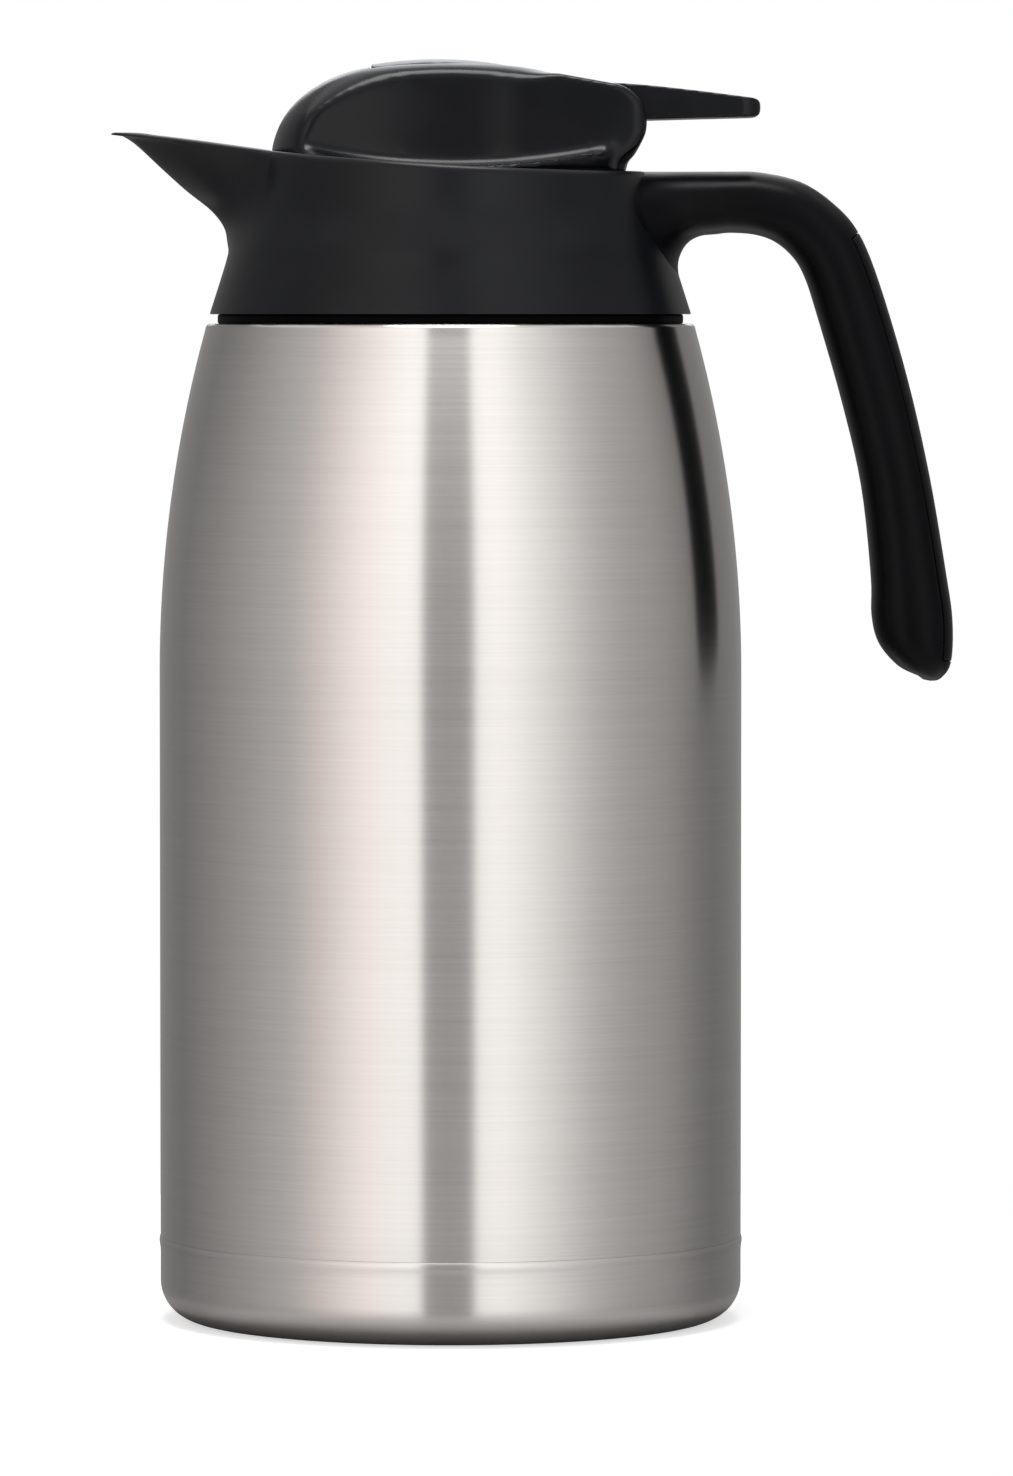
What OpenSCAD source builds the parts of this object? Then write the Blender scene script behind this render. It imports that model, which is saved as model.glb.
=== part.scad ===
// Vacuum carafe with a lever stopper: double-wall steel body, spouted collar, arch handle.
// Millimetres. Z is the body axis, the origin is on it at the resting plane.
// The handle and the thumb lever point along +X, the spout along -X.

/* [Steel body] */
// Outer radius of the body
body_r = 65.2; // [60:0.1:70]
// Height of the steel body's top face, under the collar
body_top_z = 223.3; // [205:0.1:240]
// Length of the curved shoulder below the top face
shoulder_h = 78.3; // [60:0.1:85]
// Radius of the arc that draws the shoulder in
shoulder_arc = 292; // [270:1:340]
// Thickness of the steel sheet
sheet = 0.8; // [0.6:0.05:1]
// Clear gap between the two walls
vacuum_gap = 5.2; // [4:0.1:7]
// Radius of the rounded lip at the top of the shoulder
lip_r = 1.3; // [1:0.1:2]
// Height of the seam between the shell and the base cup
seam_z = 19; // [15:0.5:24]
// Corner radius at the bottom of the base cup
base_corner_r = 9; // [6:0.5:10]
// Radius of the cover disc in the base
base_disc_r = 48; // [40:0.5:50]
// Inner radius of the steel mouth
mouth_r = 34; // [32:0.1:35]
// Height of the steel neck above the body's top face
neck_h = 13.7; // [12:0.1:15]

/* [Collar and spout] */
// Outer radius of the collar at its foot
collar_foot_r = 53.9; // [53:0.1:56]
// Outer radius of the collar at its rim
collar_rim_r = 44; // [43.6:0.1:45]
// Height of the rim over the body's top face, at the back
rim_h = 33.9; // [33:0.1:35]
// Radius of the long arc along which the rim climbs to the spout
rim_arc = 640; // [600:5:720]
// Distance behind the axis at which the rim is lowest
rim_x = 35; // [30:0.5:38]
// Wall thickness of the moulded collar
collar_wall = 2.4; // [2:0.1:2.8]
// Distance of the spout's tip from the body axis
spout_reach = 75.7; // [72:0.1:79]
// Angle from the spout's middle to where it meets the collar, at the rim
spout_width = 26; // [22:0.5:28]
// Height of the gap that shows between the steel and the collar
collar_gap = 2.1; // [1.6:0.1:2.6]

/* [Handle] */
// Half width of the grip
grip_half_w = 12; // [10:0.5:14]
// Thickness of the cover along the back of the handle
cover_t = 2.4; // [1.8:0.1:3]
// Wall thickness of the hollow handle
handle_wall = 2.6; // [2.2:0.1:3.2]

/* [Stopper] */
// Height of the dome's crown above the body's top face
dome_h = 58.2; // [57:0.1:60]
// Half width of the grip ridge at its waist
ridge_half_w = 16.5; // [15.5:0.1:18]
// Radius of the finger scallops, seen from above
scallop_arc = 120; // [100:5:160]
// Wall thickness of the domed top
lid_wall = 2.4; // [2:0.1:2.6]
// Radius of the valve opening
valve_r = 12; // [10:0.5:14]

/* [Lever and valve] */
// Distance of the lever's pivot from the edge of the domed top
pivot_inset = 6; // [5.5:0.1:6.5]
// Height of the pivot above the body's top face
pivot_h = 44.7; // [44:0.1:45.4]
// Distance of the paddle's tip from the body axis
paddle_reach = 69.2; // [64:0.1:72]
// Half width of the lever
lever_half_w = 10; // [9:0.1:11]
// Radius of the pivot pin
pivot_pin_r = 1.5; // [1.2:0.05:1.8]
// Radius of the valve stem
stem_r = 2.5; // [2:0.1:2.8]
// Wire thickness of the valve spring
spring_wire = 1; // [0.8:0.05:1.2]
// Number of turns of the valve spring
spring_turns = 6; // [5:1:7]

/* [Clearances] */
// Radial running clearance of a pin or stem in its bore
pin_gap = 0.05; // [0.02:0.01:0.1]
// Gap between parts that turn or lift against each other
part_gap = 0.3; // [0.25:0.05:0.4]
// Gap between the domed top and the collar's bore
lid_clearance = 0.6; // [0.5:0.05:1]
// Gap between the plug and the steel mouth
plug_clearance = 0.6; // [0.5:0.05:1]

/* [Hidden] */

$fn = 96;
// Facets of the very large circles
fine = 720;
// Overshoot of a cutting solid past the face it opens
cut = 1;

// ---- helpers: arcs, smooth curves, thickened paths, skins over rings ----

function arc(cx, cz, r, from, to, steps) =
    [for (i = [0:steps]) [cx + r * cos(from + (to - from) * i / steps), cz + r * sin(from + (to - from) * i / steps)]];

function blend(a, b, c, d, t) =
    0.5 * (2 * b + (c - a) * t + (2 * a - 5 * b + 4 * c - d) * t * t + (3 * b - a - 3 * c + d) * t * t * t);

function smooth(p, steps) = concat(
    [for (i = [0:len(p) - 2]) for (k = [0:steps - 1])
        blend(p[max(i - 1, 0)], p[i], p[i + 1], p[min(i + 2, len(p) - 1)], k / steps)],
    [p[len(p) - 1]]);

function unit(v) = v / norm(v);

function along(p, i) = unit(p[min(i + 1, len(p) - 1)] - p[max(i - 1, 0)]);

function shifted(p, d) = [for (i = [0:len(p) - 1]) p[i] + d * [-along(p, i)[1], along(p, i)[0]]];

function reversed(p) = [for (i = [len(p) - 1:-1:0]) p[i]];

function middle(ring) = [for (axis = [0:2]) sum([for (p = ring) p[axis]]) / len(ring)];

function sum(list, i = 0) = i < len(list) ? list[i] + sum(list, i + 1) : 0;

module sheet_ring(path, thickness) {
    rotate_extrude() polygon(concat(path, reversed(shifted(path, thickness))));
}

module tube(outer, inner, z_from, z_to) {
    translate([0, 0, z_from]) difference() {
        cylinder(r = outer, h = z_to - z_from);
        translate([0, 0, -cut]) cylinder(r = inner, h = z_to - z_from + 2 * cut);
    }
}

module disc(r, z_from, z_to) {
    translate([0, 0, z_from]) cylinder(r = r, h = z_to - z_from);
}

// A closed skin over rings of equally many points, which run clockwise seen along the sweep
module skin(rings) {
    n = len(rings[0]);
    last = len(rings) - 1;
    first_hub = n * (last + 1);
    polyhedron(
        points = concat([for (ring = rings) each ring], [middle(rings[0]), middle(rings[last])]),
        faces = concat(
            [for (k = [0:n - 1]) [(k + 1) % n, k, first_hub]],
            [for (i = [0:last - 1]) for (k = [0:n - 1])
                [i * n + k, (i + 1) * n + (k + 1) % n, (i + 1) * n + k]],
            [for (i = [0:last - 1]) for (k = [0:n - 1])
                [i * n + k, i * n + (k + 1) % n, (i + 1) * n + (k + 1) % n]],
            [for (k = [0:n - 1]) [last * n + k, last * n + (k + 1) % n, first_hub + 1]]),
        convexity = 6);
}

// ---- heights and radii shared by several pieces ----

shoulder_z = body_top_z - shoulder_h;
lip_z = body_top_z - lip_r;
function shoulder_r(z) = body_r - shoulder_arc + sqrt(shoulder_arc * shoulder_arc - pow(z - shoulder_z, 2));
mouth_z = body_top_z + neck_h;
flask_neck_r = mouth_r + sheet;
neck_r = flask_neck_r + 2 + sheet;
flask_r = body_r - sheet - vacuum_gap;
flask_bottom_z = 8;
flask_bottom_r = 14;
base_disc_t = 1.2;
base_panel_z = 3;
base_ring_r = body_r - base_corner_r;

collar_z = body_top_z + collar_gap;
rim_z = body_top_z + rim_h;
collar_h = rim_z - collar_z;
collar_bore_r = collar_rim_r - collar_wall;
lid_r = collar_bore_r - lid_clearance;
pivot_x = lid_r - pivot_inset;
plug_r = mouth_r - plug_clearance;
floor_top_z = collar_z + collar_wall;

// ---- steel body ----

module outer_shell() {
    wall = concat(
        [[body_r, seam_z], [body_r, shoulder_z]],
        [for (i = [1:12]) let (z = shoulder_z + (lip_z - shoulder_z) * i / 12) [shoulder_r(z), z]],
        arc(shoulder_r(lip_z) - lip_r, lip_z, lip_r, 20, 90, 4));
    neck_fillet = 1.6;
    neck = concat(
        arc(neck_r + neck_fillet, body_top_z + neck_fillet, neck_fillet, 270, 180, 4),
        [[neck_r, mouth_z]]);
    color("#b9b4ae") sheet_ring(concat(wall, neck), sheet);
}

module base_cup() {
    bead = 0.25;
    corner = arc(base_ring_r, base_corner_r, base_corner_r, -90, 0, 8);
    step_r = base_disc_r + 0.2;
    panel_r = base_disc_r - 3;
    path = concat(
        [[0, base_panel_z], [panel_r - 2, base_panel_z], [panel_r, base_disc_t], [step_r, base_disc_t],
         [step_r + 1, 0]],
        corner,
        [[body_r, seam_z - 5], [body_r + bead, seam_z - 3], [body_r + bead, seam_z - 0.6], [body_r, seam_z]]);
    color("#a8a5a2") sheet_ring(path, sheet);
}

module base_disc() {
    color("#2b2c2e") disc(base_disc_r, 0, base_disc_t);
}

module vacuum_seal() {
    bead_r = 4;
    bead_h = 1.4;
    color("#b87333") translate([0, 0, base_panel_z]) rotate([180, 0, 0]) cylinder(r1 = bead_r, r2 = bead_r - 1, h = bead_h);
}

function flask_path() = concat(
    [[0, flask_bottom_z]],
    arc(flask_r - flask_bottom_r, flask_bottom_z + flask_bottom_r, flask_bottom_r, -90, 0, 8),
    smooth([
        [flask_r, shoulder_z + 4], [flask_r - 0.9, shoulder_z + 30], [flask_r - 3.8, shoulder_z + 51],
        [flask_r - 8, shoulder_z + 62], [flask_r - 14.5, shoulder_z + 70], [flask_neck_r + 3.2, body_top_z - 4.3],
        [flask_neck_r, body_top_z + 0.8]], 4),
    [[flask_neck_r, mouth_z]]);

module inner_flask() {
    color("#c4c2bf") union() {
        sheet_ring(flask_path(), sheet);
        tube(neck_r, mouth_r, mouth_z, mouth_z + sheet);
    }
}

module flask_foil() {
    foil = 0.25;
    foil_gap = 0.2;
    color("#c47f4a") tube(
        flask_r + foil_gap + foil, flask_r + foil_gap, flask_bottom_z + flask_bottom_r, shoulder_z);
}

module getter() {
    pellet_r = 5;
    pellet_h = 2;
    color("#6d6a66") translate([24, 0, 0]) disc(pellet_r, flask_bottom_z - pellet_h, flask_bottom_z);
}

// ---- collar, liner and gaskets ----

collar_gasket_r = shoulder_r(lip_z) - lip_r - 0.4;
collar_gasket_w = 3;

module collar_gasket() {
    color("#141414") tube(collar_gasket_r, collar_gasket_r - collar_gasket_w, body_top_z, collar_z);
}

function collar_curve(inset) = [for (p = smooth([
    [collar_foot_r, collar_z], [collar_foot_r - 3.3, collar_z + 10.4], [collar_foot_r - 4.5, collar_z + 14.6],
    [collar_rim_r + 2.3, rim_z - 8.5], [collar_rim_r, rim_z + 1], [collar_rim_r - 2.4, rim_z + 12]], 3))
    [p[0] - inset, p[1]]];

// The keel under the spout: share of the collar's height, share of the way out to the tip
keel_shares = [
    [0.333, -0.015], [0.491, 0.019], [0.61, 0.053], [0.73, 0.171], [0.8585, 0.376], [1.003, 0.582],
    [1.189, 0.8365], [1.289, 1.046], [1.465, 1.266]];
keel_root_r = collar_foot_r - 4.5;
keel_curve = smooth(keel_shares, 4);
function keel_x(z) = keel_root_r + (spout_reach - keel_root_r) * lookup((z - collar_z) / collar_h, keel_curve);
function level(share) = collar_z + share * collar_h;

// Outer radius of the collar without its spout
function collar_r(z) = lookup(z, [for (p = collar_curve(0)) [p[1], p[0]]]);

// Angle to either side of -X over which the spout runs out into the cone
function spout_angle(z) = spout_width + (rim_z - z) * 0.25;

// One level of the spout, seen from above: nearly flat sides that run out into a circle of radius root
spout_shares = [0.02, 0.06, 0.12, 0.2, 0.29, 0.4, 0.52, 0.64, 0.75, 0.85, 0.93, 1];
function beak_side(z, nose, root, spread) = [for (s = spout_shares) let (
    r = root + (nose - root) * pow(1 - s, 1.95),
    a = 180 - s * spread) [r * cos(a), r * sin(a), z]];
function beak(z, nose, root, spread) = let (
    side = beak_side(z, nose, root, spread),
    back = [for (s = [1, -1]) [side[len(side) - 1][0] + 5, s * side[len(side) - 1][1], z]])
    concat(side, back, [for (p = reversed(side)) [p[0], -p[1], z]]);

module spout_outside() {
    sunk = 0.2;
    skin([for (share = [0.365, 0.43, 0.49, 0.55, 0.62, 0.695, 0.775, 0.87, 0.99, 1.15, 1.286, 1.4]) let (z = level(share))
        beak(z, max(keel_x(z), collar_r(z) - sunk), collar_r(z) - sunk, spout_angle(z))]);
}

module spout_channel() {
    keel_drop = 3;
    skin([for (share = [0.52, 0.585, 0.65, 0.71, 0.775, 0.87, 0.99, 1.15, 1.43]) let (
        z = level(share),
        nose = max(min(keel_x(z - keel_drop), keel_x(z) - collar_wall), collar_bore_r - 0.4))
        beak(z, nose, collar_bore_r - 0.5, spout_angle(z) - 3)]);
}

// Everything above the climbing rim
module above_rim() {
    translate([rim_x, 0, rim_z + rim_arc]) rotate([90, 0, 0]) cylinder(r = rim_arc, h = 3 * body_r, center = true, $fn = fine);
}

module collar() {
    hollow_top_z = collar_z + 17;
    color("#26272a") difference() {
        union() {
            rotate_extrude() polygon(concat([[collar_bore_r - 5, collar_z]], collar_curve(0), [[collar_bore_r - 5, rim_z + 12]]));
            spout_outside();
            handle_skin(0, root_ring);
        }
        above_rim();
        disc(neck_r + part_gap, collar_z - cut, rim_z + 20);
        disc(collar_bore_r, floor_top_z, rim_z + 20);
        spout_channel();
        // the wall is doubled: a groove from below separates the cone from the bore
        rotate_extrude() polygon([
            [collar_bore_r + collar_wall, collar_z - cut], [collar_foot_r - collar_wall, collar_z - cut],
            [collar_foot_r - collar_wall - 2.9, hollow_top_z - 8], [collar_bore_r + collar_wall, hollow_top_z]]);
        screw_holes(2.2);
    }
}

liner_r = collar_bore_r - 1.6;
liner_bore_r = liner_r - 2.6;
liner_top_z = rim_z - 5.2;
mouth_gasket_t = 1.4;
liner_lip_z = mouth_z + sheet + mouth_gasket_t;

module pour_liner() {
    window_half_w = 15;
    window_z = liner_lip_z + 2.4;
    color("#303134") difference() {
        union() {
            disc(liner_r, floor_top_z, liner_top_z);
            disc(collar_bore_r - part_gap, floor_top_z, floor_top_z + 2.4);
        }
        disc(neck_r + pin_gap, floor_top_z - cut, liner_lip_z);
        disc(mouth_r + 0.4, liner_lip_z - cut, liner_top_z + cut);
        disc(liner_bore_r, window_z, liner_top_z + cut);
        translate([-liner_r - cut, -window_half_w, window_z]) cube([liner_r, 2 * window_half_w, 40]);
    }
}

module mouth_gasket() {
    color("#d8d4cc") tube(neck_r, mouth_r + 0.4, mouth_z + sheet, liner_lip_z);
}

// ---- handle ----

// Stations along the handle: outer edge x z, inner edge x z from the rim's edge, half width, wrap
handle_offsets = [
    [-0.6, -0.1, 5.2, -23.6, 19, 1],
    [3, 0, 7, -19, 16.5, 0.55],
    [7.5, 0.1, 9.2, -16, grip_half_w + 1.8, 0.15],
    [13, 0.1, 13.3, -14, grip_half_w + 0.8, 0],
    [19, 0.1, 18.7, -13.6, grip_half_w + 0.3, 0],
    [25.4, -0.1, 24, -14, grip_half_w, 0],
    [34.3, -2.2, 28.6, -15.6, grip_half_w, 0],
    [41.5, -6.9, 32.6, -19, grip_half_w, 0],
    [47.2, -13.4, 35.2, -23.4, grip_half_w, 0],
    [52, -24.9, 37.8, -31.2, grip_half_w, 0],
    [58.4, -46.5, 43.6, -51.2, grip_half_w, 0],
    [63.3, -68, 48, -70.2, grip_half_w, 0],
    [67, -89.5, 50.2, -90.2, grip_half_w, 0],
    [68.5, -100.3, 50.4, -99.2, grip_half_w - 0.3, 0],
    [68.2, -109.6, 52, -105.4, grip_half_w - 1.6, 0],
    [65.9, -113.3, 56.2, -110.4, grip_half_w - 5, 0],
    [63.6, -113.9, 60.6, -112.6, grip_half_w - 9, 0]
];
handle_stations = [for (o = handle_offsets)
    [collar_rim_r + o[0], rim_z + o[1], collar_rim_r + o[2], rim_z + o[3], o[4], o[5]]];
steps_per_station = 3;
handle_curve = smooth(handle_stations, steps_per_station);
root_ring = 3 * steps_per_station;
wrap_r = 47;
section_power = 2.6;

function rounded(u) = sign(u) * pow(abs(u), 2 / section_power);
function out_edge(s) = [s[0], s[1]];
function in_edge(s) = [s[2], s[3]];
function thick(s) = norm(out_edge(s) - in_edge(s));

// A point of one section: u runs from the inner edge (-1) to the outer edge (1), v across the grip
function on_section(s, u, v) = let (
    p = (out_edge(s) + in_edge(s)) / 2 + (out_edge(s) - in_edge(s)) / 2 * u,
    y = s[4] * v)
    [p[0] - s[5] * y * y / (2 * wrap_r), y, p[1]];

function full_ring(s) = [for (a = [0:15:345]) on_section(s, rounded(cos(a)), rounded(sin(a)))];

module handle_skin(first, last) {
    skin([for (i = [first:last]) full_ring(handle_curve[i])]);
}

cover_first = 8 * steps_per_station;
cover_last = 14 * steps_per_station;

// Share of the half thickness at which the cover's parting line lies
function part_u(s, depth) = 1 - 2 * depth / thick(s);
function part_angle(s, depth) = acos(pow(part_u(s, depth), section_power / 2));

function cover_ring(s, depth) = let (a = part_angle(s, depth))
    [for (i = [-6:6]) on_section(s, rounded(cos(a * i / 6)), rounded(sin(a * i / 6)))];

// Everything outside the parting line, to cut the seat of the cover
function seat_ring(s) = [for (c = [[0, -1.3], [1.4, -1.3], [1.4, 1.3], [0, 1.3]])
    on_section(s, c[0] == 0 ? part_u(s, cover_t) : c[0], c[1])];

function pocket_ring(s) = let (
    u0 = -1 + 2 * handle_wall / thick(s),
    u1 = part_u(s, cover_t - 0.6),
    v = 1 - 1.6 * handle_wall / s[4])
    [on_section(s, u0, -v * 0.7), on_section(s, u0 + 0.25, -v), on_section(s, u1, -v),
     on_section(s, u1, v), on_section(s, u0 + 0.25, v), on_section(s, u0, v * 0.7)];

module handle() {
    rib_gap = 1;
    pocket_len = 3;
    color("#1b1c1e") difference() {
        handle_skin(root_ring, len(handle_curve) - 1);
        skin([for (i = [cover_first:cover_last]) seat_ring(handle_curve[i])]);
        for (i = [cover_first + 1:pocket_len + rib_gap:cover_last - pocket_len - 1])
            skin([for (k = [i:i + pocket_len]) pocket_ring(handle_curve[k])]);
        screw_holes(screw_r + pin_gap);
    }
}

module handle_cover() {
    color("#202124") skin([for (i = [cover_first:cover_last]) cover_ring(handle_curve[i], cover_t - 0.1)]);
}

screw_r = 1.9;
screw_z = rim_z - 6.9;
screw_y = 6;
screw_head_r = 3.2;
screw_head_x = collar_bore_r - 0.4;

module screw_row() {
    for (side = [-1, 1]) translate([screw_head_x, side * screw_y, screw_z]) rotate([0, 90, 0]) children();
}

module screw_holes(r) {
    screw_row() {
        cylinder(r = r, h = 21);
        translate([0, 0, -4]) cylinder(r = screw_head_r + 0.2, h = 6.2);
    }
}

module handle_screws() {
    color("#9a9a9a") screw_row() {
        cylinder(r = screw_head_r, h = 2.2);
        cylinder(r = screw_r, h = 20);
    }
}

// ---- stopper ----

deck_t = 2.4;
deck_top_z = rim_z - 0.4;
deck_z = deck_top_z - deck_t;
plug_bottom_z = body_top_z + 0.7;
plug_step_z = liner_lip_z + 0.4;
plug_floor_t = 2.4;
seat_z = plug_bottom_z + plug_floor_t;
plug_wall = 2.2;
skirt_r = liner_bore_r - part_gap;
gasket_z = plug_bottom_z + 2.2;
gasket_h = 4;
gasket_depth = 1.4;
plug_gap = 0.25;

module stopper_plug() {
    port_half_w = 13;
    color("#2a2b2e") difference() {
        union() {
            disc(plug_r, plug_bottom_z, plug_step_z + 2);
            disc(skirt_r, plug_step_z + 2, deck_z);
        }
        disc(plug_r - gasket_depth - plug_wall, seat_z, plug_step_z + 4);
        disc(skirt_r - plug_wall, plug_step_z + 4, deck_z + cut);
        disc(valve_r, plug_bottom_z - cut, seat_z + cut);
        tube(plug_r + 5, plug_r - gasket_depth, gasket_z, gasket_z + gasket_h);
        translate([-skirt_r - cut, -port_half_w, plug_step_z + 4.2])
            cube([skirt_r, 2 * port_half_w, liner_top_z - plug_step_z - 5]);
    }
}

module plug_gasket() {
    color("#d8d4cc") tube(
        mouth_r - plug_gap, plug_r - gasket_depth + plug_gap, gasket_z + plug_gap, gasket_z + gasket_h - plug_gap);
}

dome_top_z = body_top_z + dome_h;
pivot_z = body_top_z + pivot_h;
ear_r = 8.8;
cheek_t = 2.8;
lever_slot = lever_half_w + 0.4;
ear_half_w = lever_slot + cheek_t + part_gap + lid_wall + 1.6;

// Outline of the dome from its foot to the crown, and the same drawn in by the wall
function dome_curve(inset) = concat(
    [[lid_r - inset, deck_top_z], [lid_r - inset, deck_top_z + 3.4]],
    [for (p = smooth([
        [lid_r - 0.9, dome_top_z - 19.1], [lid_r - 2.8, dome_top_z - 13.6], [lid_r - 6.3, dome_top_z - 8.8],
        [lid_r - 11.5, dome_top_z - 4.8], [lid_r - 17, dome_top_z - 2.3], [lid_r - 22.5, dome_top_z - 1],
        [lid_r - 31, dome_top_z - 0.25], [0, dome_top_z]], 3))
        [max(p[0] - inset, 0), p[1] - inset]]);

// Side outline of the ridge behind the crown: it falls gently, then turns round the pivot
function ridge_outline(inset) = concat(
    [[0, deck_top_z], [0, dome_top_z - inset - 0.9], [12, dome_top_z - inset - 1.35],
     [24, dome_top_z - inset - 2.6]],
    arc(pivot_x, pivot_z, ear_r - inset, 82, -28, 10),
    [[lid_r - 0.2 - inset, deck_top_z + 3.6], [lid_r - 1.4 - inset, deck_top_z]]);

// Bowl that draws the ears in over the collar's rim
module ear_bowl(inset) {
    rotate_extrude() polygon([
        [0, deck_top_z - cut], [lid_r - inset, deck_top_z - cut], [lid_r - inset, deck_top_z + 1.4],
        [collar_bore_r - part_gap - inset, deck_top_z + 3], [lid_r + 2.2 - inset, deck_top_z + 4.7],
        [lid_r + 4.2 - inset, deck_top_z + 6.2],
        [lid_r + 8 - inset, pivot_z + 1], [lid_r + 9, dome_top_z + cut], [0, dome_top_z + cut]]);
}

module lid_solid(inset) {
    half_w = ear_half_w - inset;
    corner = 3;
    rotate_extrude() polygon(concat([[0, deck_top_z]], dome_curve(inset)));
    intersection() {
        translate([0, half_w, 0]) rotate([90, 0, 0]) linear_extrude(2 * half_w) polygon(ridge_outline(inset));
        ear_bowl(inset);
        translate([0, 0, deck_top_z]) linear_extrude(50) {
            translate([0, -half_w]) square([pivot_x + ear_r - corner, 2 * half_w]);
            translate([0, corner - half_w]) square([pivot_x + ear_r, 2 * (half_w - corner)]);
            for (side = [-1, 1]) translate([pivot_x + ear_r - corner, side * (half_w - corner)]) circle(corner);
        }
    }
}

// Finger scallops: each is turned about an upright axis beside the lid, with a rounded foot
module scallops(grow, floor_z) {
    foot_r = 5;
    slope = 2.4;
    for (side = [-1, 1]) translate([0, side * (ridge_half_w + scallop_arc), 0])
        rotate_extrude($fn = fine) polygon(concat(
            [[0, dome_top_z + 10], [scallop_arc + grow, dome_top_z + 10]],
            arc(scallop_arc + grow - foot_r, floor_z + slope + foot_r, foot_r, 0, -80, 6),
            [[scallop_arc - 30, floor_z], [0, floor_z]]));
}

lever_front_x = -17.6;
hub_r = 4.6;

module lid_cover() {
    ledge_z = deck_top_z + 2;
    color("#232427") difference() {
        lid_solid(0);
        scallops(0, ledge_z);
        difference() {
            translate([0, 0, -0.01]) lid_solid(lid_wall);
            scallops(lid_wall, deck_top_z - cut);
        }
        translate([lever_front_x - 0.5, -lever_slot, pivot_z - hub_r - 0.5]) cube([80, 2 * lever_slot, 40]);
    }
}

module lever_frame() {
    cheek_x = pivot_x - 6;
    cheek_w = lid_r - lid_wall - 2 - cheek_x;
    color("#2d2e31") difference() {
        union() {
            disc(lid_r - 0.4, deck_z, deck_top_z);
            for (side = [-1, 1]) translate([0, side * (lever_slot + cheek_t / 2), 0]) {
                translate([cheek_x, -cheek_t / 2, deck_top_z]) cube([cheek_w, cheek_t, pivot_z - deck_top_z]);
                translate([pivot_x - 0.5, 0, pivot_z]) rotate([90, 0, 0]) cylinder(r = 5.4, h = cheek_t, center = true);
            }
            disc(guide_r + 2, deck_z - 3, deck_top_z);
        }
        translate([pivot_x, 0, pivot_z]) rotate([90, 0, 0]) cylinder(r = pivot_pin_r + 0.01, h = 60, center = true);
        disc(guide_r + 0.02, deck_z - 10, deck_top_z + cut);
    }
}

module lever_pin() {
    half_len = lever_slot + cheek_t;
    color("#a9a9a9") translate([pivot_x, 0, pivot_z]) rotate([90, 0, 0])
        cylinder(r = pivot_pin_r, h = 2 * half_len, center = true);
}

// ---- valve: guide, seals, stem, disc, spring ----

guide_r = 4.6;
guide_bottom_z = deck_z - 5.5;
guide_flange_r = 8;
guide_flange_t = 1.6;
stem_seal_t = 1.8;
valve_seal_t = 1.6;
valve_disc_t = 2.6;
valve_disc_z = seat_z + valve_seal_t;
valve_disc_top_z = valve_disc_z + valve_disc_t;
valve_edge = valve_r + 2.4;

module stem_guide() {
    color("#35363a") difference() {
        union() {
            disc(guide_r, guide_bottom_z, deck_top_z);
            disc(guide_flange_r, guide_bottom_z, guide_bottom_z + guide_flange_t);
        }
        disc(stem_r + pin_gap, guide_bottom_z - cut, deck_top_z + cut);
    }
}

module stem_seal() {
    color("#d8d4cc") tube(guide_r, stem_r + pin_gap, deck_top_z, deck_top_z + stem_seal_t);
}

stem_top_z = pivot_z + 2.9;
stem_pin_r = 1.25;
stem_pin_half = 6;

module valve_stem() {
    foot_r = 5;
    foot_t = 1.6;
    color("#3a3b3f") difference() {
        union() {
            disc(stem_r, valve_disc_top_z, stem_top_z);
            disc(foot_r, valve_disc_top_z, valve_disc_top_z + foot_t);
        }
        translate([0, 0, pivot_z]) rotate([90, 0, 0]) cylinder(r = stem_pin_r + 0.01, h = 20, center = true);
    }
}

module stem_pin() {
    color("#a9a9a9") translate([0, 0, pivot_z]) rotate([90, 0, 0])
        cylinder(r = stem_pin_r, h = 2 * stem_pin_half, center = true);
}

module valve_disc() {
    color("#2f3033") union() {
        disc(valve_edge, valve_disc_z, valve_disc_top_z);
        disc(valve_r - 2, valve_disc_z - valve_seal_t, valve_disc_z);
    }
}

module valve_seal() {
    color("#d8d4cc") tube(valve_edge, valve_r - 1.95, seat_z, valve_disc_z);
}

// The spring stands on the valve disc and ends under the guide's flange
spring_r = 6.6;
spring_foot_z = valve_disc_top_z + spring_wire / 2;
spring_head_z = guide_bottom_z - spring_wire / 2;

module valve_spring() {
    steps = 8;
    count = spring_turns * steps;
    rise = (spring_head_z - spring_foot_z) / count;
    wire_r = spring_wire / 2;
    color("#c8c8c8") skin([for (i = [0:count]) let (a = 360 * i / steps)
        [for (k = [0:5]) let (b = 60 * k)
            [(spring_r + wire_r * cos(b)) * cos(a), (spring_r + wire_r * cos(b)) * sin(a),
             spring_foot_z + rise * i + wire_r * sin(b)]]]);
}

// ---- lever ----

band_t = 3;

function lever_top() = smooth([
    [lever_front_x, dome_top_z - 0.3], [-11.3, dome_top_z + 0.5], [-4, dome_top_z + 0.9], [3, dome_top_z + 0.7],
    [10.2, dome_top_z - 0.1], [17.4, dome_top_z - 1.6], [24, dome_top_z - 3.1], [31, pivot_z + 9.2],
    [38.9, pivot_z + 8.8], [46.1, pivot_z + 8.2], [56.8, pivot_z + 7], [paddle_reach - 1.6, pivot_z + 5.6]], 3);

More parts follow.
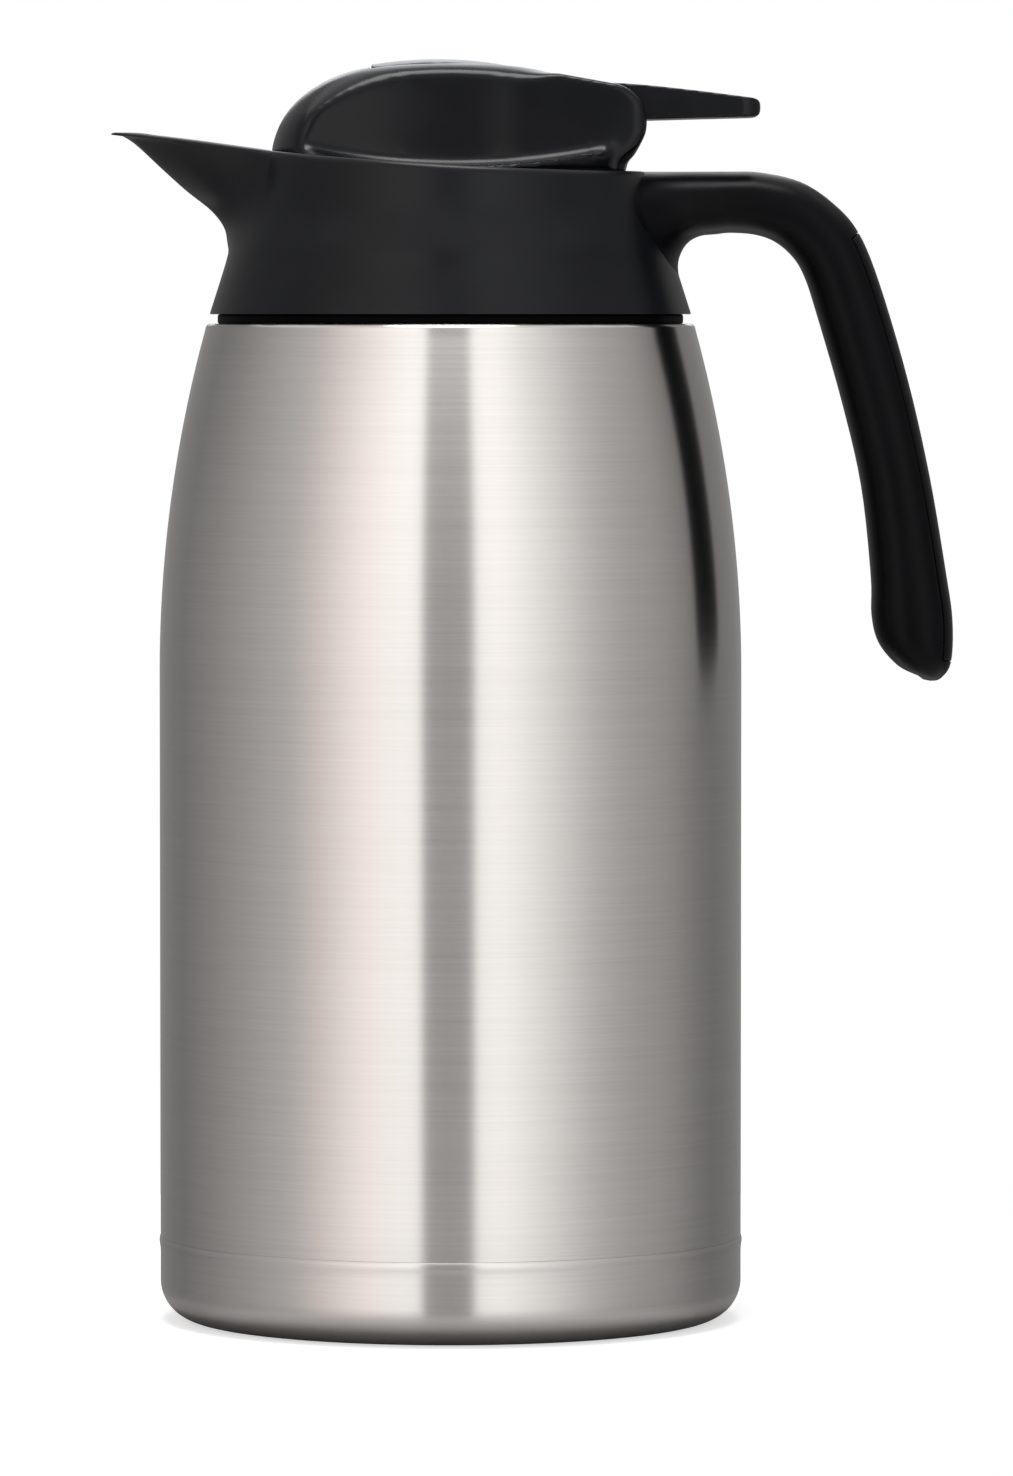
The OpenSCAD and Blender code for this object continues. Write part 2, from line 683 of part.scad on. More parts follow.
module lever_side() {
    polygon(concat(
        lever_top(),
        arc(paddle_reach - 1.4, pivot_z + 4.1, 1.4, 60, -10, 3),
        arc(paddle_reach - 1.4, pivot_z + 2.8, 1.4, -10, -90, 3),
        [[55.9, pivot_z + 1.1], [45.2, pivot_z + 0.8], [pivot_x + hub_r - 0.2, pivot_z + 0.8]],
        [[pivot_x - hub_r + 0.2, pivot_z + 0.8], [29, pivot_z + 5], [24, dome_top_z - 3.1 - band_t],
         [10, dome_top_z - band_t], [0, dome_top_z + 0.8 - band_t], [-10, dome_top_z + 0.4 - band_t],
         [lever_front_x, dome_top_z - 0.3 - band_t]]));
}

module lever_plan() {
    paddle_corner = 4;
    front_corner = 3;
    translate([lever_front_x + front_corner, -lever_half_w]) square([60, 2 * lever_half_w]);
    translate([lever_front_x, -lever_half_w + front_corner]) square([60, 2 * (lever_half_w - front_corner)]);
    for (side = [-1, 1]) {
        translate([lever_front_x + front_corner, side * (lever_half_w - front_corner)]) circle(front_corner);
        translate([paddle_reach - paddle_corner, side * (lever_half_w - paddle_corner)]) circle(paddle_corner);
    }
    translate([20, -lever_half_w]) square([paddle_reach - paddle_corner - 20, 2 * lever_half_w]);
    translate([20, -lever_half_w + paddle_corner]) square([paddle_reach - 20, 2 * (lever_half_w - paddle_corner)]);
}

module lever() {
    yoke_in = stem_r + 0.8;
    yoke_t = 2.4;
    slot_r = stem_pin_r + part_gap;
    slot_back = 0.9;
    color("#252629") difference() {
        union() {
            intersection() {
                translate([0, 30, 0]) rotate([90, 0, 0]) linear_extrude(60) lever_side();
                translate([0, 0, pivot_z - 20]) linear_extrude(60) lever_plan();
            }
            translate([pivot_x, 0, pivot_z]) rotate([90, 0, 0]) cylinder(r = hub_r, h = 2 * lever_half_w, center = true);
            for (side = [-1, 1]) translate([-5, side * (yoke_in + yoke_t / 2) - yoke_t / 2, pivot_z - 3])
                cube([10, yoke_t, dome_top_z - band_t + 0.5 - pivot_z + 3]);
        }
        translate([pivot_x, 0, pivot_z]) rotate([90, 0, 0]) cylinder(r = pivot_pin_r + pin_gap, h = 60, center = true);
        for (x = [-slot_back, 0.2]) translate([x, 0, pivot_z]) rotate([90, 0, 0])
            cylinder(r = slot_r, h = 2 * (yoke_in + yoke_t) + cut, center = true);
        translate([-slot_back, -yoke_in - yoke_t - cut, pivot_z - slot_r])
            cube([slot_back + 0.2, 2 * (yoke_in + yoke_t + cut), 2 * slot_r]);
    }
}

outer_shell();
base_cup();
base_disc();
vacuum_seal();
inner_flask();
flask_foil();
getter();
collar_gasket();
collar();
pour_liner();
mouth_gasket();
handle();
handle_cover();
handle_screws();
stopper_plug();
plug_gasket();
lid_cover();
lever_frame();
lever_pin();
stem_guide();
stem_seal();
valve_spring();
lever();
valve_stem();
stem_pin();
valve_disc();
valve_seal();
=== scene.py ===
import math
import bpy
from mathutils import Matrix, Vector


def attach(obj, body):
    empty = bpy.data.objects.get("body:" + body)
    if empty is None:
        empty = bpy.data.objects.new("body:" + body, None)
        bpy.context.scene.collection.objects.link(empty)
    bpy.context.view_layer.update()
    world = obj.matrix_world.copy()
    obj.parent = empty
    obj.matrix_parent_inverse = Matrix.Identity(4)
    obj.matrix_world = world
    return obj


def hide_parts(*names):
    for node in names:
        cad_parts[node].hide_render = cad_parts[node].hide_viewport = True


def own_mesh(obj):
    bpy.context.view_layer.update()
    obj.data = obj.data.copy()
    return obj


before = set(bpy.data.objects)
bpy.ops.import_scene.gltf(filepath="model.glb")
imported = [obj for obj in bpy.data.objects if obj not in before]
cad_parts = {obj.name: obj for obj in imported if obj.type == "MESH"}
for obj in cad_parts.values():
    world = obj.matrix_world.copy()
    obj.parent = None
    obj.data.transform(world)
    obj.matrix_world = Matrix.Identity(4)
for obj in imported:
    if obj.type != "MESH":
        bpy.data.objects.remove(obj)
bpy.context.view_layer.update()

mm = 0.001
print("frame loaded,", len(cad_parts), "CAD nodes")


# small helpers

def fromHex(code):
    parts = [int(code[i:i + 2], 16) / 255 for i in (1, 3, 5)]
    return [c / 12.92 if c <= 0.04045 else ((c + 0.055) / 1.055) ** 2.4 for c in parts] + [1.0]


def onlyThis(piece):
    bpy.ops.object.select_all(action="DESELECT")
    piece.select_set(True)
    bpy.context.view_layer.objects.active = piece


def applyModifiers(piece):
    onlyThis(piece)
    for modifier in list(piece.modifiers):
        bpy.ops.object.modifier_apply(modifier=modifier.name)


def addModifier(piece, kind, **settings):
    modifier = piece.modifiers.new(kind.title(), kind)
    for key, value in settings.items():
        setattr(modifier, key, value)
    applyModifiers(piece)


def tidyMesh(piece, angle=35, merge=0.004):
    onlyThis(piece)
    bpy.ops.object.mode_set(mode="EDIT")
    bpy.ops.mesh.select_all(action="SELECT")
    bpy.ops.mesh.remove_doubles(threshold=merge * mm)
    bpy.ops.mesh.normals_make_consistent(inside=False)
    bpy.ops.object.mode_set(mode="OBJECT")
    bpy.ops.object.shade_smooth_by_angle(angle=math.radians(angle))


# a sleeve of rings, extruded upwards one by one, then each ring put in its place (millimetres)
def loft(name, rings, angle=35):
    sides = len(rings[0])
    bpy.ops.object.select_all(action="DESELECT")
    bpy.ops.mesh.primitive_circle_add(vertices=sides, radius=1, fill_type="NOTHING")
    piece = bpy.context.object
    piece.name = piece.data.name = name
    bpy.ops.object.mode_set(mode="EDIT")
    bpy.ops.mesh.select_all(action="SELECT")
    for _ in rings[1:]:
        bpy.ops.mesh.extrude_region_move(TRANSFORM_OT_translate={"value": (0, 0, 1)})
    bpy.ops.object.mode_set(mode="OBJECT")
    mesh = piece.data
    place = []
    for vertex in mesh.vertices:
        x, y, z = vertex.co
        side = round((math.atan2(y, x) - math.pi / 2) * sides / math.tau) % sides
        place.append((round(z), side))
    for vertex, (level, side) in zip(mesh.vertices, place):
        vertex.co = [mm * c for c in rings[level][side]]
    layer = mesh.uv_layers.active or mesh.uv_layers.new(name="UVMap")
    for face in mesh.polygons:
        spots = [place[mesh.loops[i].vertex_index] for i in face.loop_indices]
        wraps = max(s[1] for s in spots) - min(s[1] for s in spots) > 1
        for i, (level, side) in zip(face.loop_indices, spots):
            layer.data[i].uv = ((sides if wraps and side == 0 else side) / sides, level / len(rings))
    tidyMesh(piece, angle)
    return piece


def turned(name, profile, sides=160, closed=True, angle=35):
    outline = profile + profile[:1] if closed else profile
    turns = [math.tau * (k / sides + 0.25) for k in range(sides)]
    return loft(name, [[(r * math.cos(a), r * math.sin(a), z) for a in turns] for r, z in outline], angle)


def arc(cx, cz, r, start, end, steps):
    turns = [math.radians(start + (end - start) * i / steps) for i in range(steps + 1)]
    return [(cx + r * math.cos(a), cz + r * math.sin(a)) for a in turns]


# rounds the corners of an outline; each point is (x, z) or (x, z, rounding)
def softened(points, steps=4, closed=True):
    out = []
    for i, point in enumerate(points):
        here = Vector(point[:2])
        before, after = Vector(points[i - 1][:2]), Vector(points[(i + 1) % len(points)][:2])
        if len(point) < 3 or (not closed and i in (0, len(points) - 1)):
            out.append(tuple(here))
            continue
        start = here + (before - here).normalized() * min(point[2], (before - here).length * 0.45)
        end = here + (after - here).normalized() * min(point[2], (after - here).length * 0.45)
        for k in range(steps + 1):
            t = k / steps
            out.append(tuple(start * (1 - t) ** 2 + here * 2 * t * (1 - t) + end * t * t))
    return out


# smooth curve through all the points, of any number of values each
def through(points, steps):
    out = []
    last = len(points) - 1
    for i in range(last):
        a, b, c, d = points[max(i - 1, 0)], points[i], points[i + 1], points[min(i + 2, last)]
        for k in range(steps):
            t = k / steps
            out.append([0.5 * (2 * q + (r - p) * t + (2 * p - 5 * q + 4 * r - s) * t * t
                               + (3 * q - p - 3 * r + s) * t ** 3) for p, q, r, s in zip(a, b, c, d)])
    return out + [list(points[last])]


def lookup(table, x):
    if x <= table[0][0]:
        return table[0][1]
    for (x0, y0), (x1, y1) in zip(table, table[1:]):
        if x <= x1:
            return y0 + (y1 - y0) * (x - x0) / (x1 - x0)
    return table[-1][1]


def cutAway(piece, cutter, operation="DIFFERENCE"):
    addModifier(piece, "BOOLEAN", object=cutter, operation=operation, solver="EXACT")
    bpy.data.objects.remove(cutter)


def block(name, low, high, bevel=0):
    bpy.ops.object.select_all(action="DESELECT")
    centre = [mm * (a + b) / 2 for a, b in zip(low, high)]
    bpy.ops.mesh.primitive_cube_add(size=1, location=centre, scale=[mm * (b - a) for a, b in zip(low, high)])
    piece = bpy.context.object
    piece.name = piece.data.name = name
    bpy.ops.object.transform_apply(location=True, rotation=True, scale=True)
    if bevel:
        addModifier(piece, "BEVEL", width=bevel * mm, segments=3)
    return piece


def copyOfNode(node, name):
    bpy.ops.object.select_all(action="DESELECT")
    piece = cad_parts[node].copy()
    piece.data = piece.data.copy()
    bpy.context.scene.collection.objects.link(piece)
    piece.parent = None
    for key in list(piece.keys()):
        del piece[key]
    piece.name = piece.data.name = name
    tidyMesh(piece)
    return piece


# materials

def addNode(material, kind, settings=None, links=None):
    node = material.node_tree.nodes.new(kind)
    for key, value in (settings or {}).items():
        if key == "stops":  # (place, colour or grey) pairs of a colour ramp
            for _ in value[2:]:
                node.color_ramp.elements.new(0.5)
            for element, (spot, colour) in zip(node.color_ramp.elements, value):
                element.position = spot
                element.color = fromHex(colour) if isinstance(colour, str) else (*colour, 1)
        elif isinstance(key, int) or key in node.inputs:
            node.inputs[key].default_value = value
        else:
            setattr(node, key, value)
    for key, source in (links or {}).items():
        source, output = source if isinstance(source, tuple) else (source, 0)
        material.node_tree.links.new(source.outputs[output], node.inputs[key])
    return node


def newMaterial(name):
    material = bpy.data.materials.new(name)
    material.use_nodes = True
    material.node_tree.nodes.clear()
    return material


def finishWith(material, settings, links):
    shader = addNode(material, "ShaderNodeBsdfPrincipled", settings, links)
    addNode(material, "ShaderNodeOutputMaterial", links={"Surface": shader})
    return material


# stainless sheet brushed in a lathe: fine lines run round the body and draw each highlight out upwards;
# the real lines are finer than 0.1 mm and wouldn't show, so they are drawn 0.4 mm apart
def brushedSteel(name, finish):
    material = newMaterial(name)
    spot = addNode(material, "ShaderNodeTexCoord")
    xyz = addNode(material, "ShaderNodeSeparateXYZ", links={0: (spot, "Object")})
    squareX = addNode(material, "ShaderNodeMath", {"operation": "MULTIPLY"}, {0: (xyz, 0), 1: (xyz, 0)})
    squareY = addNode(material, "ShaderNodeMath", {"operation": "MULTIPLY"}, {0: (xyz, 1), 1: (xyz, 1)})
    both = addNode(material, "ShaderNodeMath", {"operation": "ADD"}, {0: squareX, 1: squareY})
    radius = addNode(material, "ShaderNodeMath", {"operation": "SQRT"}, {0: both})
    along = addNode(material, "ShaderNodeMath", {"operation": "SUBTRACT"}, {0: (xyz, 2), 1: radius})
    place = addNode(material, "ShaderNodeCombineXYZ", links={0: (xyz, 0), 1: (xyz, 1), 2: along})
    lineScale = addNode(material, "ShaderNodeVectorMath", {"operation": "MULTIPLY", 1: (
        1 / (finish["lineLength"] * mm), 1 / (finish["lineLength"] * mm), 1 / (finish["linePitch"] * mm))}, {0: place})
    lines = addNode(material, "ShaderNodeTexNoise", {"Scale": 1.0, "Detail": 3.0, "Roughness": 0.6}, {"Vector": lineScale})
    broadScale = addNode(material, "ShaderNodeVectorMath", {"operation": "MULTIPLY", 1: (9, 9, 420)}, {0: place})
    broad = addNode(material, "ShaderNodeTexNoise", {"Scale": 1.0, "Detail": 2.0}, {"Vector": broadScale})
    tone = addNode(material, "ShaderNodeMix", {"data_type": "FLOAT", 0: 0.3}, {2: (lines, 0), 3: (broad, 0)})
    colour = addNode(material, "ShaderNodeValToRGB", {"stops": [(0.3, finish["dark"]), (0.7, finish["light"])]}, {0: tone})
    rough = addNode(material, "ShaderNodeMapRange", {
        1: 0.3, 2: 0.7, 3: finish["roughness"] - 0.015, 4: finish["roughness"] + 0.015}, {0: tone})
    bump = addNode(material, "ShaderNodeBump", {"Strength": finish["lineStrength"], "Distance": 0.02 * mm},
                   {"Height": (lines, 0)})
    tangent = addNode(material, "ShaderNodeTangent", {"direction_type": "UV_MAP", "uv_map": "UVMap"})
    return finishWith(material, {
        "Metallic": 1.0, "Anisotropic": finish["stretch"], "Anisotropic Rotation": 0.25},
        {"Base Color": colour, "Roughness": rough, "Normal": bump, "Tangent": tangent})


# moulded plastic: a fine spark-eroded grain scatters the highlight, a slow mottle keeps it from looking painted
def mouldedPlastic(name, finish):
    material = newMaterial(name)
    spot = addNode(material, "ShaderNodeTexCoord")
    grain = addNode(material, "ShaderNodeTexNoise", {"Scale": 1 / (finish["grain"] * mm), "Detail": 2.0},
                    {"Vector": (spot, "Object")})
    mottle = addNode(material, "ShaderNodeTexNoise", {"Scale": 1 / (finish.get("mottle", 14) * mm), "Detail": 3.0},
                     {"Vector": (spot, "Object")})
    colour = addNode(material, "ShaderNodeValToRGB", {"stops": [(0.35, finish["dark"]), (0.65, finish["light"])]},
                     {0: (mottle, 0)})
    rough = addNode(material, "ShaderNodeMapRange", {
        1: 0.3, 2: 0.7, 3: finish["roughness"] - 0.035, 4: finish["roughness"] + 0.035}, {0: (mottle, 0)})
    bump = addNode(material, "ShaderNodeBump", {"Strength": finish["depth"], "Distance": 0.05 * mm}, {"Height": (grain, 0)})
    return finishWith(material, {"Metallic": 0.0, "IOR": finish.get("ior", 1.5)},
                      {"Base Color": colour, "Roughness": rough, "Normal": bump})


steelWall = brushedSteel("stainless sheet, brushed round", {
    "dark": "#c4c0bc", "light": "#cbc7c4", "roughness": 0.24, "stretch": 0.96,
    "linePitch": 0.4, "lineLength": 40, "lineStrength": 0.12})
steelBase = brushedSteel("stainless cup, brushed round", {
    "dark": "#c3bfbb", "light": "#cac6c3", "roughness": 0.24, "stretch": 0.96,
    "linePitch": 0.4, "lineLength": 40, "lineStrength": 0.12})
satinBlack = mouldedPlastic("ABS, moulded satin black", {  # even, soft sheen on the collar, faintly blue
    "dark": "#06070a", "light": "#090a0e", "roughness": 0.31, "grain": 0.35, "depth": 0.06, "ior": 1.3})
lidBlack = mouldedPlastic("ABS, moulded satin black, lid", {  # a finer polish: tighter lines along dome and lever
    "dark": "#05060a", "light": "#08090d", "roughness": 0.25, "grain": 0.35, "depth": 0.06, "ior": 1.3})
gripBlack = mouldedPlastic("polypropylene, moulded fine grain black", {  # deeper black, almost no mirror image
    "dark": "#030305", "light": "#050508", "roughness": 0.36, "grain": 0.4, "depth": 0.08, "ior": 1.17})
innerPlastic = mouldedPlastic("polypropylene, moulded dark grey", {  # dull grey, so plug and liner show apart
    "dark": "#232427", "light": "#2b2c2f", "roughness": 0.45, "grain": 0.5, "depth": 0.12})
padPlastic = mouldedPlastic("TPE, moulded base pad", {  # matt and pitted, no highlight under the base
    "dark": "#1d1e20", "light": "#262729", "roughness": 0.6, "grain": 0.6, "depth": 0.3})
blackRubber = mouldedPlastic("nitrile rubber, moulded", {  # the rubber's own black, darkened further as painted shade for the gap under the collar
    "dark": "#020202", "light": "#050505", "roughness": 0.5, "grain": 0.5, "depth": 0.2, "ior": 1.1})
clearSilicone = mouldedPlastic("silicone rubber, moulded milky", {  # off-white, waxy
    "dark": "#c9c6bf", "light": "#d9d6cf", "roughness": 0.42, "grain": 0.8, "depth": 0.1, "ior": 1.43})
print("first materials made")


# steel wall: straight side, long curved shoulder, rounded lip and hidden neck
bodyShape = {"radius": 65.2, "seam": 19.0, "shoulder": 145.0, "shoulderArc": 292.0, "top": 223.3,
             "lip": 1.2, "neck": 37.6, "mouth": 237.0, "sheet": 0.8}


def shoulderRadius(z):
    lift = max(z - bodyShape["shoulder"], 0)
    return bodyShape["radius"] - bodyShape["shoulderArc"] + math.sqrt(bodyShape["shoulderArc"] ** 2 - lift ** 2)


def makeBodyShell(shape):
    lipZ = shape["top"] - shape["lip"]
    lipX = shoulderRadius(lipZ) - shape["lip"]
    outer = [(shape["radius"] - 0.25, shape["seam"]), (shape["radius"] - 0.02, shape["seam"] + 0.01),
             (shape["radius"], shape["seam"] + 0.2)]
    outer += [(shape["radius"], z) for z in (30, 45, 60, 75, 90, 105, 120, 133, 141)]
    outer += [(shoulderRadius(z), z) for z in [145 + (lipZ - 145) * i / 30 for i in range(31)]]
    outer += arc(lipX, lipZ, shape["lip"], 12, 90, 8)
    neck = arc(shape["neck"] + 1.6, shape["top"] + 1.6, 1.6, 270, 180, 6) + [(shape["neck"], shape["mouth"])]
    inner = [(shape["neck"] - shape["sheet"], shape["mouth"]), (shape["neck"] - shape["sheet"], shape["top"] - 0.5),
             (lipX, shape["top"] - shape["sheet"]), (shoulderRadius(lipZ - 2) - shape["sheet"], lipZ - 2)]
    inner += [(shoulderRadius(z) - shape["sheet"], z) for z in (200, 175, 150)]
    inner += [(shape["radius"] - shape["sheet"], 100), (shape["radius"] - shape["sheet"], shape["seam"])]
    return turned("bodyShell", outer + neck + inner, sides=256)


bodyShell = makeBodyShell(bodyShape)
bodyShell.data.materials.append(steelWall)
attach(bodyShell, "carafe")
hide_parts("outer_shell")


# base cup: it slips over the wall, with a rolled bead at the seam and a wide soft corner
cupShape = {"radius": 65.2, "corner": 9.0, "seam": 19.0, "bead": 0.25, "padRadius": 48.0, "panel": 3.0, "sheet": 0.8}


def makeBaseCup(shape):
    r, c = shape["radius"], shape["corner"]
    outer = [(0, shape["panel"]), (shape["padRadius"] - 5, shape["panel"]), (shape["padRadius"] - 3, 1.2),
             (shape["padRadius"] + 0.2, 1.2), (shape["padRadius"] + 0.6, 0.35), (shape["padRadius"] + 1.6, 0)]
    outer += arc(r - c, c, c, -90, 0, 16)
    outer += [(r, 12), (r, 15.2)]
    outer += [(r + shape["bead"] * k, z) for k, z in (
        (0.1, 16.2), (0.4, 16.8), (0.8, 17.3), (1, 17.8), (0.97, 18.15), (0.8, 18.45), (0.42, 18.75), (0, 18.97))]
    outer += [(r - 0.3, shape["seam"] - 0.02)]
    inner = [(r - shape["sheet"], shape["seam"] - 0.02), (r - shape["sheet"], c)]
    inner += arc(r - c, c, c - shape["sheet"], 0, -90, 8)
    inner += [(shape["padRadius"] + 0.6, 2.0), (shape["padRadius"] - 3.4, 2.0),
              (shape["padRadius"] - 5.4, shape["panel"] + shape["sheet"]), (0, shape["panel"] + shape["sheet"])]
    return turned("baseCup", outer + inner, sides=256, closed=False)


baseCup = makeBaseCup(cupShape)
baseCup.data.materials.append(steelBase)
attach(baseCup, "carafe")
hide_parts("base_cup")

# base pad: moulded rings under it keep it from sliding
padShape = {"radius": 48.0, "thick": 1.2, "rings": (12, 20, 28, 36, 43), "groove": 0.5}


def makeBasePad(shape):
    under = [(0, 0.0)]
    for r in shape["rings"]:
        under += softened([(r - 1.2, 0.0, 0.3), (r - 0.7, shape["groove"], 0.3), (r + 0.7, shape["groove"], 0.3),
                           (r + 1.2, 0.0, 0.3)], 3, closed=False)
    edge = softened([(shape["radius"] - 4, 0), (shape["radius"], 0, 0.4), (shape["radius"], shape["thick"], 0.2),
                     (0, shape["thick"])], closed=False)
    return turned("basePad", under + edge, closed=False)


basePad = makeBasePad(padShape)
basePad.data.materials.append(padPlastic)
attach(basePad, "carafe")
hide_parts("base_disc")
print("steel body and base made")


# collar: a thick cone, drawn out into the pouring beak
collarShape = {
    "foot": 53.9, "bottom": 225.4, "rimZ": 257.2, "bore": 41.6, "neckHole": 37.9, "floor": 227.8,
    "rimArc": 640.0, "rimX": 35.0, "reach": 75.7, "wall": 2.4, "spread": 26.0, "softKeel": 0.04, "fullness": 1.95,
    "lip": 0.85, "droop": 0.8, "levels": 48, "innerLevels": 26}
collarHeight = collarShape["rimZ"] - collarShape["bottom"]
coneCurve = [(z, r) for r, z in through([
    [53.9, 225.4], [50.6, 235.8], [49.4, 240.0], [46.3, 248.7], [44.0, 258.2], [41.6, 269.2]], 6)]
keelCurve = through([  # (share of the height, share of the reach) along the underside of the beak
    [0.333, -0.015], [0.491, 0.019], [0.61, 0.053], [0.73, 0.171], [0.8585, 0.376], [1.003, 0.582],
    [1.189, 0.8365], [1.258, 0.972]], 6) + [[1.27, 1.058], [1.465, 1.3]]  # ends in a small blunt lip


def keelX(z):
    root = collarShape["foot"] - 4.5
    return root + (collarShape["reach"] - root) * lookup(keelCurve, (z - collarShape["bottom"]) / collarHeight)


def rimHeight(x):
    rise = collarShape["rimArc"] - math.sqrt(collarShape["rimArc"] ** 2 - (x - collarShape["rimX"]) ** 2)
    return collarShape["rimZ"] + rise - collarShape["droop"] * (max(-55 - x, 0) / 20) ** 2


# how far the wall has gone over to the beak, from 0 on the cone to nearly 1 at the keel
def beakShare(angle, spread):
    away = abs((angle + 360) % 360 - 180) / spread
    soft = collarShape["softKeel"]
    away = math.sqrt(away * away + soft * soft)
    return 0.961 * (max(1 - away, 0) / (1 - soft)) ** collarShape["fullness"]


def spreadAt(z):
    return collarShape["spread"] + (collarShape["rimZ"] - z) * 0.25


def outerRadius(angle, z):
    cone = lookup(coneCurve, z)
    return max(cone, cone + (keelX(z) - cone) * beakShare(angle, spreadAt(z))) if z > 236 else cone


def innerRadius(angle, z):
    nose = min(keelX(z - 3), keelX(z) - collarShape["wall"])
    root = collarShape["bore"] - 0.5
    if z < 239 or nose < root:
        return collarShape["bore"]
    return max(collarShape["bore"], root + (nose - root) * beakShare(angle, spreadAt(z) - 3))


def makeCollar(shape):
    turns = [180 + 0.5 * i for i in range(-80, 80)] + [220 + 2 * i for i in range(140)]  # close together at the beak
    levels, innerLevels = shape["levels"], shape["innerLevels"]
    rings = [[] for _ in range(levels + 5 + innerLevels + 6)]
    for a in turns:
        cos, sin = math.cos(math.radians(a)), math.sin(math.radians(a))
        top = shape["rimZ"]
        for _ in range(6):  # the rim climbs with the reach, and the reach grows with the height
            top = rimHeight(outerRadius(a, top - 0.01) * cos)
        column = []
        soft = shape["lip"]
        for i in range(levels):
            t = i / (levels - 1)
            z = shape["bottom"] + 0.35 + (top - soft - shape["bottom"] - 0.35) * t
            column.append((outerRadius(a, z), z))
        outR, inR = outerRadius(a, top - 0.1), innerRadius(a, top - 0.1)
        thick = min(soft, (outR - inR) * 0.45)
        column += [(outR - thick * 0.08, top - soft * 0.6), (outR - thick * 0.32, top - soft * 0.2),
                   (outR - thick, top), (inR + thick, top), (inR + thick * 0.25, top - soft * 0.25)]
        for i in range(innerLevels):
            z = top - soft - (top - soft - shape["floor"] - 0.5) * i / (innerLevels - 1)
            column.append((innerRadius(a, z), z))
        column += [(shape["bore"] - 0.5, shape["floor"]), (shape["neckHole"], shape["floor"]),
                   (shape["neckHole"], shape["bottom"]), (shape["foot"] - 5, shape["bottom"]),
                   (shape["foot"] - 0.4, shape["bottom"]), (shape["foot"] - 0.05, shape["bottom"] + 0.12)]
        for ring, (r, z) in zip(rings, column):
            ring.append((r * cos, r * sin, z))
    return loft("collarBody", rings + rings[:1], angle=50)


collarBody = makeCollar(collarShape)
collarBody.data.materials.append(satinBlack)
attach(collarBody, "carafe")
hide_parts("collar")

# collar gasket: seen as a dark line in the gap over the steel; its near-black colour is partly painted shade for that
# gap
gasketShape = {"outer": 52.1, "inner": 49.8, "low": 223.3, "high": 225.4}


def makeRing(name, shape, soft=0.5):
    return turned(name, softened([(shape["outer"], shape["low"], soft), (shape["outer"], shape["high"], soft),
                                  (shape["inner"], shape["high"], soft), (shape["inner"], shape["low"], soft)]))


collarGasket = makeRing("collarGasket", gasketShape)
collarGasket.data.materials.append(blackRubber)
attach(collarGasket, "carafe")
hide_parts("collar_gasket")
print("collar and beak made")


# handle: one long arch of a soft oval section, with a cover let into its back
handleShape = {"power": 2.6, "flare": 10.0, "wrap": 44.0, "width": 12.8, "points": 56, "steps": 5,
               "coverDepth": 2.4, "coverGap": 0.1, "coverFrom": 5, "coverTo": 11, "coverTip": 0.12, "edge": 0.35}
handleStations = through([  # x and z of the outer side, x and z of the inner side, half the width, wrap
    [59.0, 257.3, 59.6, 243.3, 12.6, 0], [63.0, 257.3, 62.7, 243.6, 12.3, 0], [69.4, 257.1, 68.0, 243.2, 12, 0],
    [78.3, 255.0, 72.6, 241.6, 12, 0], [85.5, 250.3, 76.6, 238.2, 12, 0], [91.2, 243.8, 79.2, 233.8, 12, 0],
    [96.0, 232.3, 81.8, 226.0, 12, 0], [102.4, 210.7, 87.6, 206.0, 12, 0], [107.3, 189.2, 92.0, 187.0, 12, 0],
    [111.0, 167.7, 94.2, 167.0, 12, 0], [112.5, 156.9, 94.4, 158.0, 11.7, 0], [112.2, 147.6, 96.0, 151.8, 10.4, 0],
    [109.9, 143.9, 100.2, 146.8, 7, 0], [107.6, 143.3, 104.6, 144.6, 3, 0]], handleShape["steps"])
handleRoot = []  # flares out smoothly onto the collar's cone
for away in (-0.3, -0.02, 0.01, 0.06, 0.15, 0.4, 0.8, 1.3, 2.0, 2.8, 3.7, 4.7, 5.8, 7.0, 8.4):
    flare = handleShape["flare"]
    grow = flare - math.sqrt(flare ** 2 - (flare - max(away, 0)) ** 2) + 10 * max(-away, 0)
    out = away - 0.03 * max(1 - away / 0.4, 0)
    low = 243.2 - grow
    handleRoot.append([handleShape["wrap"] + out, 257.28, lookup(coneCurve, low) + out, low,
                       handleShape["width"] + 0.8 * grow, (1 - away / 9) ** 1.2])


def ovalPart(value):
    return math.copysign(abs(value) ** (2 / handleShape["power"]), value)


# a point of a section: u runs from the inner side to the outer, v across
def onSection(s, u, v):
    y = s[4] * v
    x = (s[0] + s[2]) / 2 + (s[0] - s[2]) / 2 * u - s[5] * y * y / (2 * handleShape["wrap"])
    return (x, y, (s[1] + s[3]) / 2 + (s[1] - s[3]) / 2 * u)


# where the cover parts from the grip, as a value of u
def partLine(s, depth):
    return 1 - 2 * depth / math.hypot(s[0] - s[2], s[1] - s[3])


